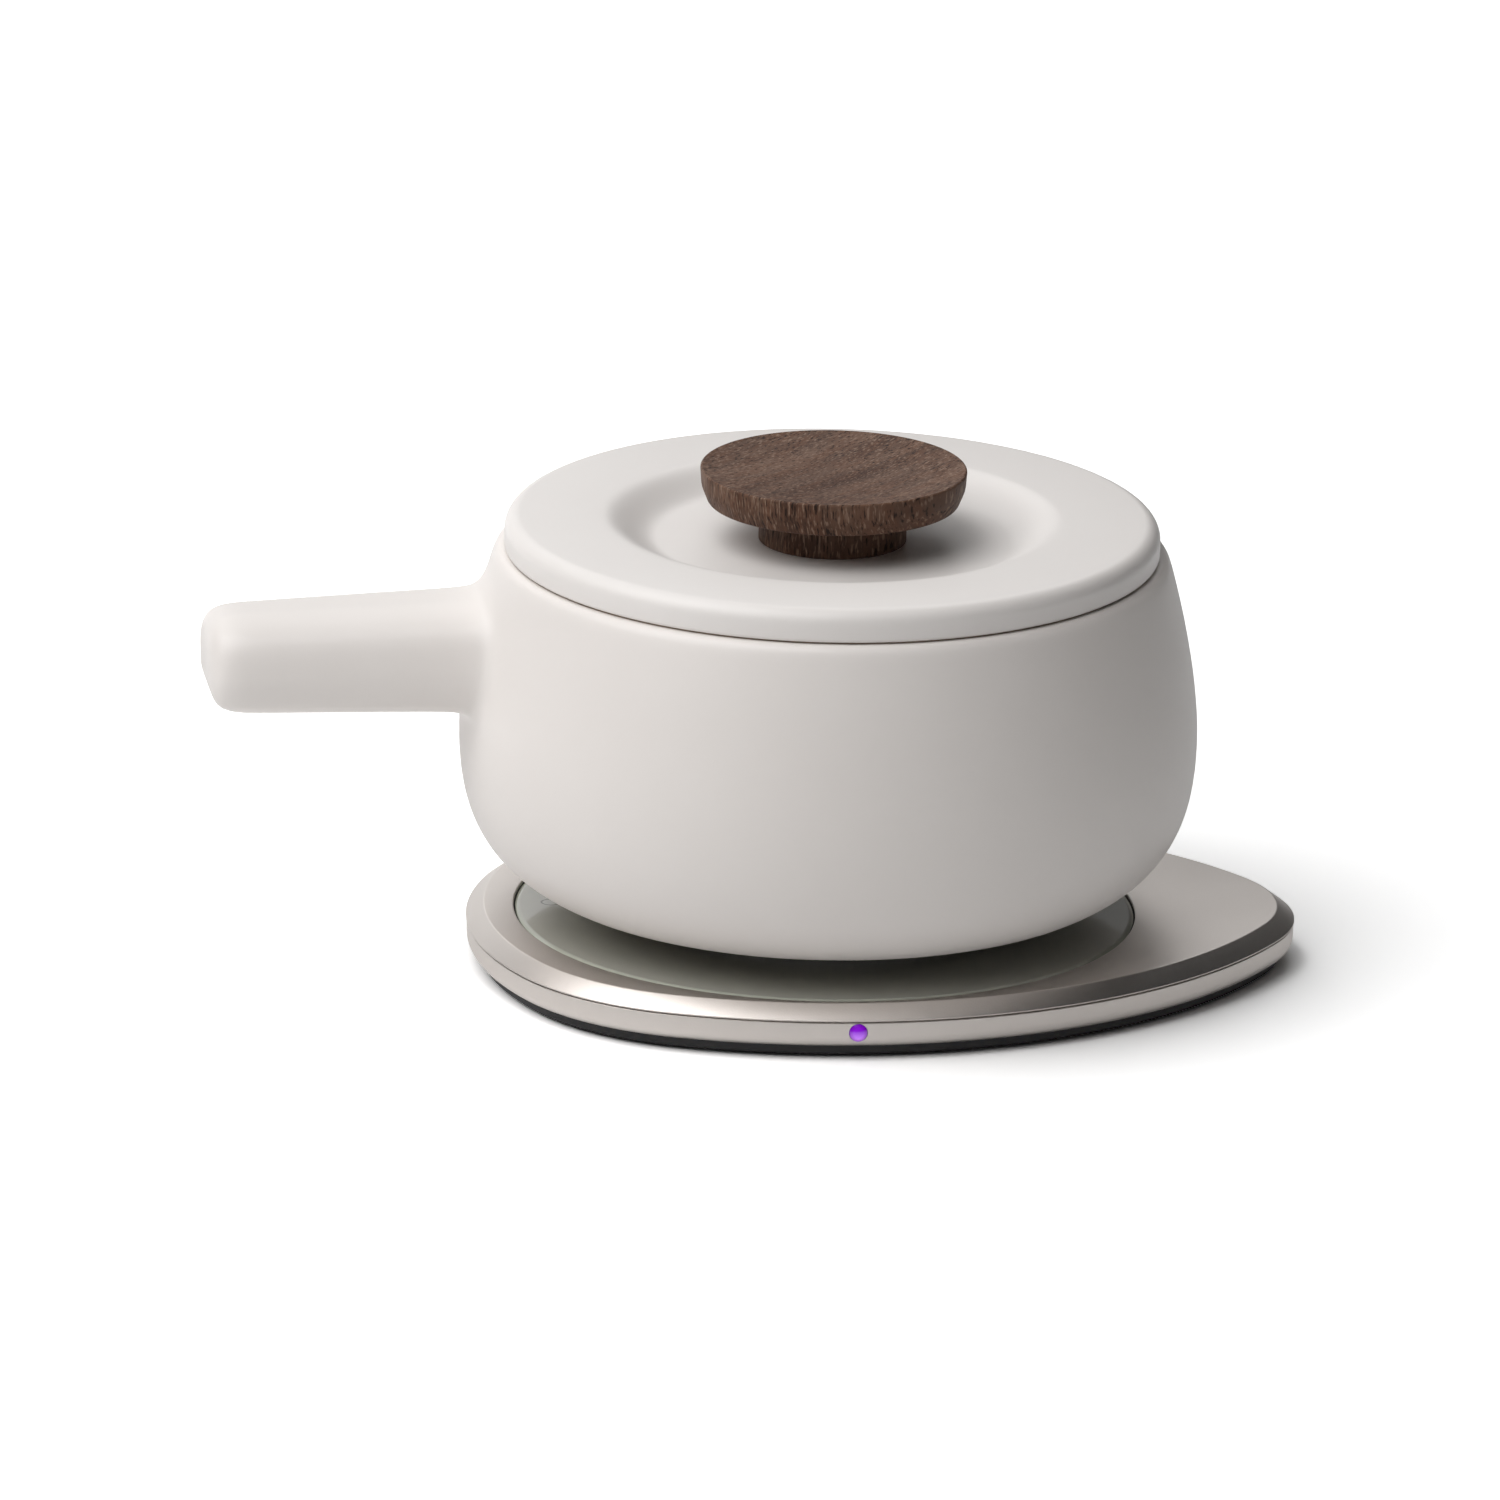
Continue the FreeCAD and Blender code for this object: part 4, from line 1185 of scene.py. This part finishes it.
        # The subdivision draws a ring of control points in by this much.
        gain = 3.0 / (2.0 + math.cos(math.tau / self.segments))
        ring = [v for v in bm.verts if math.hypot(v.co.x - PAN_AXIS.x, v.co.y) < (self.belly_r + 0.3) * MM]
        bmesh.ops.scale(
            bm, vec=(gain, gain, 1.0), verts=ring, space=Matrix.Translation(-PAN_AXIS)
        )
        obj = make_object(bm, "ceramic_pan", sharp_deg=179.0)
        smooth = obj.modifiers.new("rounding", "SUBSURF")
        smooth.levels = 2
        smooth.render_levels = 2
        return fit(dress(obj, self.glaze.build()), Body.PAN, "pan_ceramic", "pot")

    def stations(self) -> tuple[Station, ...]:
        """Sections of the handle's control shape.

        Returns:
            Three that hug the belly, three along the bar and three that round off its end.
        """
        end, r = self.handle_reach, self.edge_r
        return (
            Station(3.6, 0.3, hugs=True),
            Station(1.3, 1.6, hugs=True),
            Station(0.15, 3.8, hugs=True),
            Station(0.0, 106.0),
            Station(0.0, 126.0),
            Station(0.0, end - 1.6 * r),
            Station(0.0, end - 0.85 * r, leans=True),
            Station(-0.16 * r, end - 0.16 * r, leans=True),
            Station(-0.9 * r, end + 0.15, leans=True),
        )

    def is_patch_corner(self, place: tuple[int, int]) -> bool:
        """Whether a patch place is one of its four corners."""
        return place[0] in (0, self.patch_columns) and place[1] in (0, len(self.patch_heights) - 1)

    def draw_in(self, vert: bmesh.types.BMVert) -> None:
        """Pull a corner of the patch towards its middle, along the belly.

        Args:
            vert: the corner's vertex on the belly.
        """
        p = (vert.co - PAN_AXIS) / MM
        z_mid = (self.patch_heights[0] + self.patch_heights[-1]) / 2.0
        z = p.z + math.copysign(self.patch_lift, z_mid - p.z)
        angle = math.atan2(p.y, -p.x) * self.patch_narrow
        r = self.belly(z)
        vert.co = PAN_AXIS + Vector((-r * math.cos(angle), r * math.sin(angle), z)) * MM

    def plate(self) -> bpy.types.Object:
        """The steel plate in the pan's bottom, with a rounded edge and a shallow centre pip.

        Returns:
            The plate.
        """
        pip_top = self.plate_bottom + self.pip_deep
        section = rounded((
            (0.0, pip_top, 0.0),
            (self.pip_r - 0.8, pip_top, 0.2),
            (self.pip_r, self.plate_bottom, 0.3),
            (self.plate_r, self.plate_bottom, 1.2),
            (self.plate_r, self.plate_top, 0.3),
            (0.0, self.plate_top, 0.0),
        ))
        steel = TurnedMetal(
            "turned_steel", (0.46, 0.46, 0.47), (0.54, 0.54, 0.55), 0.3, metallic=1.0, bump_mm=0.01
        )
        obj = make_object(turned(section, 128), "steel_plate")
        return fit(dress(obj, steel.build()), Body.PAN, "plate_steel", "induction_plate")

    def build(self) -> None:
        """Build the pan and its plate."""
        self.pan()
        self.plate()


@dataclass
class LidSet:
    """The lid with its well, and the walnut knob screwed to it. Millimetres."""

    radius: float = 82.0
    bottom: float = 108.0
    top: float = 116.2
    edge_r: float = 4.0
    well_floor: float = 110.6
    well_top_r: float = 57.5
    well_floor_r: float = 44.0
    slope_steps: int = 16
    under: float = 105.4
    skirt_r: float = 77.4
    skirt_in_r: float = 73.0
    skirt_bottom: float = 101.5
    screw_hole_r: float = 2.3
    knob_top: float = 129.25
    knob_under: float = 120.5
    knob_r: float = 33.4
    knob_low_r: float = 31.4
    knob_lip: float = 0.8
    foot_r: float = 18.5
    dish: float = 2.4
    dish_steps: int = 24
    insert_r: float = 3.2
    insert_top: float = 121.0
    grain_turn_deg: float = -47.0

    def lid(self) -> bpy.types.Object:
        """The ceramic lid: flat ring, S-shaped slope, well and skirt.

        Returns:
            The lid.
        """
        points: list[Point] = []
        for k in range(self.slope_steps + 1):
            t = k / self.slope_steps
            ease = t * t * (3.0 - 2.0 * t)
            points.append((
                self.well_floor_r + (self.well_top_r - self.well_floor_r) * t,
                self.well_floor + (self.top - self.well_floor) * ease,
            ))
        outer = rounded((
            (self.well_top_r + 1.0, self.top, 0.0),
            (self.radius, self.top, self.edge_r),
            (self.radius, self.bottom, 0.9),
            (self.skirt_r, self.bottom, 0.5),
            (self.skirt_r, self.skirt_bottom, 1.2),
            (self.skirt_in_r, self.skirt_bottom, 1.2),
            (self.skirt_in_r, self.under + 1.5, 1.2),
            (self.skirt_in_r - 4.0, self.under, 1.5),
            (self.screw_hole_r, self.under, 0.3),
            (self.screw_hole_r, self.well_floor, 0.3),
            (self.screw_hole_r + 3.0, self.well_floor, 0.0),
        ), steps=8)
        glaze = Finish(
            "lid_glaze", (0.765, 0.73, 0.705), (0.79, 0.758, 0.733), 0.44, mottle_scale=14.0,
            grain_scale=900.0, bump_mm=0.010, roughness_spread=0.10, coat=0.15, coat_roughness=0.25,
        )
        obj = make_object(turned(points + outer, 160, closed=True), "ceramic_lid", sharp_deg=50.0)
        return fit(dress(obj, glaze.build()), Body.LID, "lid_ceramic", "lid")

    def knob(self) -> bpy.types.Object:
        """The turned walnut knob, dished on top, with its two runs of grain.

        Returns:
            The knob.
        """
        ball = (self.knob_r ** 2 + self.dish ** 2) / (2.0 * self.dish)
        lip = self.knob_r - self.knob_lip
        reach = math.asin(lip / ball)
        bowl_z = self.knob_top - self.dish + ball
        points: list[Point] = []
        for k in range(self.dish_steps + 1):
            angle = reach * k / self.dish_steps
            points.append((ball * math.sin(angle), bowl_z - ball * math.cos(angle)))
        points += rounded((
            (lip, self.knob_top - 0.02, 0.0),
            (self.knob_r, self.knob_top - 0.05, 0.55),
            (self.knob_r - 0.35, self.knob_top - 4.6, 6.0),
            (self.knob_low_r, self.knob_under, 1.1),
            (self.foot_r, self.knob_under, 0.5),
            (self.foot_r, self.well_floor, 0.4),
            (self.insert_r, self.well_floor, 0.2),
            (self.insert_r, self.insert_top, 0.0),
            (0.0, self.insert_top, 0.0),
        ), steps=6)[1:]
        top = Walnut(
            "walnut_top", (0.050, 0.022, 0.013), (0.138, 0.067, 0.041), 0.55, bump_mm=0.06, specular=0.15,
            grain_way=Grain.ACROSS_TOP, turn_deg=self.grain_turn_deg,
        )
        side = Walnut(
            "walnut_side", (0.062, 0.022, 0.012), (0.170, 0.066, 0.037), 0.55, bump_mm=0.06, specular=0.2,
            grain_way=Grain.UP_THE_SIDE, pale=(0.20, 0.098, 0.062), fleck=(0.30, 0.18, 0.125),
        )
        obj = make_object(turned(points, 144), "walnut_knob", sharp_deg=40.0)
        for face in obj.data.polygons:
            face.material_index = 0 if face.normal.z > 0.8 else 1
        return fit(dress(obj, top.build(), side.build()), Body.LID, "walnut", "knob")

    def dress_nodes(self) -> None:
        """Give the lid's carried-over CAD nodes their finishes."""
        nodes = frame["nodes"]
        # The seal is brown silicone, and its brown also paints the shade of the gap under the lid's edge as a
        # thin line.
        seal = Finish("brown_seal_and_painted_gap_shade", (0.30, 0.23, 0.17), (0.34, 0.265, 0.20), 0.55)
        soft = Finish("washer_silicone", (0.30, 0.30, 0.29), (0.36, 0.36, 0.35), 0.6)
        screw = Finish("steel_screw", (0.50, 0.50, 0.51), (0.58, 0.58, 0.58), 0.25, metallic=1.0)
        brass = Finish("brass_insert", (0.66, 0.47, 0.20), (0.72, 0.53, 0.26), 0.3, metallic=1.0)
        pairs = ((seal, "lid_seal"), (soft, "knob_washer"), (screw, "knob_screw"), (brass, "knob_insert"))
        for finish, name in pairs:
            dress(nodes[name], finish.build())
            LOG.info("%s dressed in %s", name, finish.name)

    def build(self) -> None:
        """Build the lid and the knob and dress their fittings."""
        self.lid()
        self.knob()
        self.dress_nodes()


@dataclass(frozen=True)
class SoftBox:
    """A soft box: place and size in metres, in the camera-turned frame."""

    name: str
    place: Corner
    size: Point
    watts: float


@dataclass(frozen=True)
class LightPool:
    """A soft pool of light in the surroundings, brightest towards one way."""

    way: Corner
    tightness: float
    strength: float


@dataclass
class Studio:
    """Camera, lights and floor. Metres, in a frame turned with the camera: +X right, +Y away."""

    azimuth_deg: float = -7.5
    elevation_deg: float = 17.0
    roll_deg: float = 1.2
    lens_mm: float = 720.0
    distance: float = 7.53
    aim_right: float = 0.01836
    aim_up: float = -0.05295
    floor_half: float = 12.0
    floor_albedo: float = 0.88
    floor_seen: float = 1.42
    pools: tuple[LightPool, ...] = (
        LightPool((-0.25, 1.0, 0.6), 8.0, 0.42),
        LightPool((0.0, -1.0, 0.35), 4.0, 0.16),
    )
    boxes: tuple[SoftBox, ...] = (
        SoftBox("top_back", (-0.3, 1.6, 2.0), (2.2, 2.2), 15.0),
        SoftBox("top_left", (-1.3, -0.1, 2.0), (2.2, 2.2), 18.0),
        SoftBox("front_left", (-1.1, -0.7, 1.8), (2.2, 2.2), 31.0),
        SoftBox("front_high", (-0.6, -0.9, 2.0), (2.2, 2.2), 10.0),
        SoftBox("left_card", (-0.32, 0.55, 0.16), (0.55, 0.30), 0.35),
    )

    def turn(self) -> Matrix:
        """Rotation from the camera-turned frame to the row frame."""
        return Matrix.Rotation(math.radians(self.azimuth_deg), 3, "Z")

    def camera(self) -> None:
        """Place the camera."""
        th = math.radians(self.elevation_deg)
        ro = math.radians(self.roll_deg)
        forward = Vector((0.0, math.cos(th), -math.sin(th)))
        right = Vector((1.0, 0.0, 0.0))
        up = Vector((0.0, math.sin(th), math.cos(th)))
        leaned_right = right * math.cos(ro) + up * math.sin(ro)
        leaned_up = up * math.cos(ro) - right * math.sin(ro)
        place = -leaned_right * self.aim_right - leaned_up * self.aim_up - forward * self.distance
        turn = self.turn()
        axes = [turn @ v for v in (leaned_right, leaned_up, -forward)]
        matrix = Matrix((axes[0], axes[1], axes[2])).transposed().to_4x4()
        matrix.translation = turn @ place + PAN_AXIS
        data = bpy.data.cameras.new("camera")
        data.lens = self.lens_mm
        data.sensor_width = 36.0
        data.clip_start = 0.1
        data.clip_end = 100.0
        obj = bpy.data.objects.new("camera", data)
        obj.matrix_world = matrix
        bpy.context.scene.collection.objects.link(obj)
        bpy.context.scene.camera = obj

    def area(self, light: SoftBox) -> None:
        """Add a soft box that faces the pan.

        Args:
            light: its place, size and power, in the camera-turned frame.
        """
        data = bpy.data.lights.new(light.name, "AREA")
        data.shape = "RECTANGLE"
        data.size, data.size_y = light.size
        data.energy = light.watts
        obj = bpy.data.objects.new(light.name, data)
        where = self.turn() @ Vector(light.place)
        aim = Vector((0.0, 0.0, 0.06)) - where
        turned_to = aim.to_track_quat("-Z", "Y").to_matrix().to_4x4()
        obj.matrix_world = Matrix.Translation(where + PAN_AXIS) @ turned_to
        bpy.context.scene.collection.objects.link(obj)

    def world(self) -> None:
        """Soft pools of light that the surfaces see, and plain white for the camera."""
        world = bpy.data.worlds.new("studio")
        world.use_nodes = True
        world.node_tree.nodes.clear()
        sheet = NodeSheet(world.node_tree)
        where = sheet.add("TexCoord").outputs["Generated"]
        turn = (0.0, 0.0, -math.radians(self.azimuth_deg))
        way = sheet.add("Mapping", {"Vector": where, "Rotation": turn}).outputs[0]
        level: Any = 0.0
        for pool in self.pools:
            aim = tuple(Vector(pool.way).normalized())
            facing = sheet.add("VectorMath", {0: way, 1: aim}, operation="DOT_PRODUCT").outputs["Value"]
            falling = sheet.math("POWER", sheet.math("MAXIMUM", facing, 0.0), pool.tightness)
            level = sheet.math("ADD", sheet.math("MULTIPLY", falling, pool.strength), level)
        seen = sheet.add("LightPath").outputs["Is Camera Ray"]
        unseen = sheet.math("SUBTRACT", 1.0, seen)
        strength = sheet.math("ADD", sheet.math("MULTIPLY", level, unseen), seen)
        background = sheet.add("Background", {"Color": (1.0, 1.0, 1.0, 1.0), "Strength": strength})
        output = world.node_tree.nodes.new("ShaderNodeOutputWorld")
        world.node_tree.links.new(background.outputs[0], output.inputs[0])
        bpy.context.scene.world = world

    def floor(self) -> None:
        """A wide pale floor just under the feet."""
        bm = bmesh.new()
        bmesh.ops.create_grid(bm, x_segments=4, y_segments=4, size=self.floor_half)
        bmesh.ops.translate(bm, vec=PAN_AXIS + Vector((0.0, 0.0, -0.00005)), verts=bm.verts)
        obj = make_object(bm, "studio_floor")
        dress(obj, self.floor_finish())

    def floor_finish(self) -> bpy.types.Material:
        """Matt white paper, brighter to the camera than to the pan.

        Returns:
            The floor's material.
        """
        paper = (self.floor_albedo,) * 3
        material, sheet = Finish("paper_floor", paper, paper, 0.9).blank()
        soft = sheet.add("TexNoise", {"Vector": sheet.place(), "Scale": 3.0, "Detail": 2.0}).outputs[0]
        seen = sheet.add("LightPath").outputs["Is Camera Ray"]
        gain = sheet.spread(seen, 0.0, 1.0, self.floor_albedo, self.floor_seen)
        level = sheet.math("MULTIPLY", gain, sheet.spread(soft, 0.3, 0.7, 0.99, 1.01))
        colour = sheet.add("CombineColor", {0: level, 1: level, 2: level}).outputs[0]
        shader = sheet.add("BsdfDiffuse", {"Color": colour})
        output = sheet.tree.nodes.new("ShaderNodeOutputMaterial")
        sheet.tree.links.new(shader.outputs[0], output.inputs[0])
        return material

    def build(self) -> None:
        """Set up the whole studio."""
        self.camera()
        self.world()
        self.floor()
        for light in self.boxes:
            self.area(light)
        view = bpy.context.scene.view_settings
        view.view_transform = "Standard"
        view.look = "None"
        view.exposure = 0.0


def main() -> None:
    """Build the studio and every sub-assembly, in order."""
    logging.basicConfig(level=logging.INFO, format="%(name)s: %(message)s")
    Studio().build()
    InductionBase().build()
    Saucepan().build()
    LidSet().build()


if __name__ == "__main__":
    main()
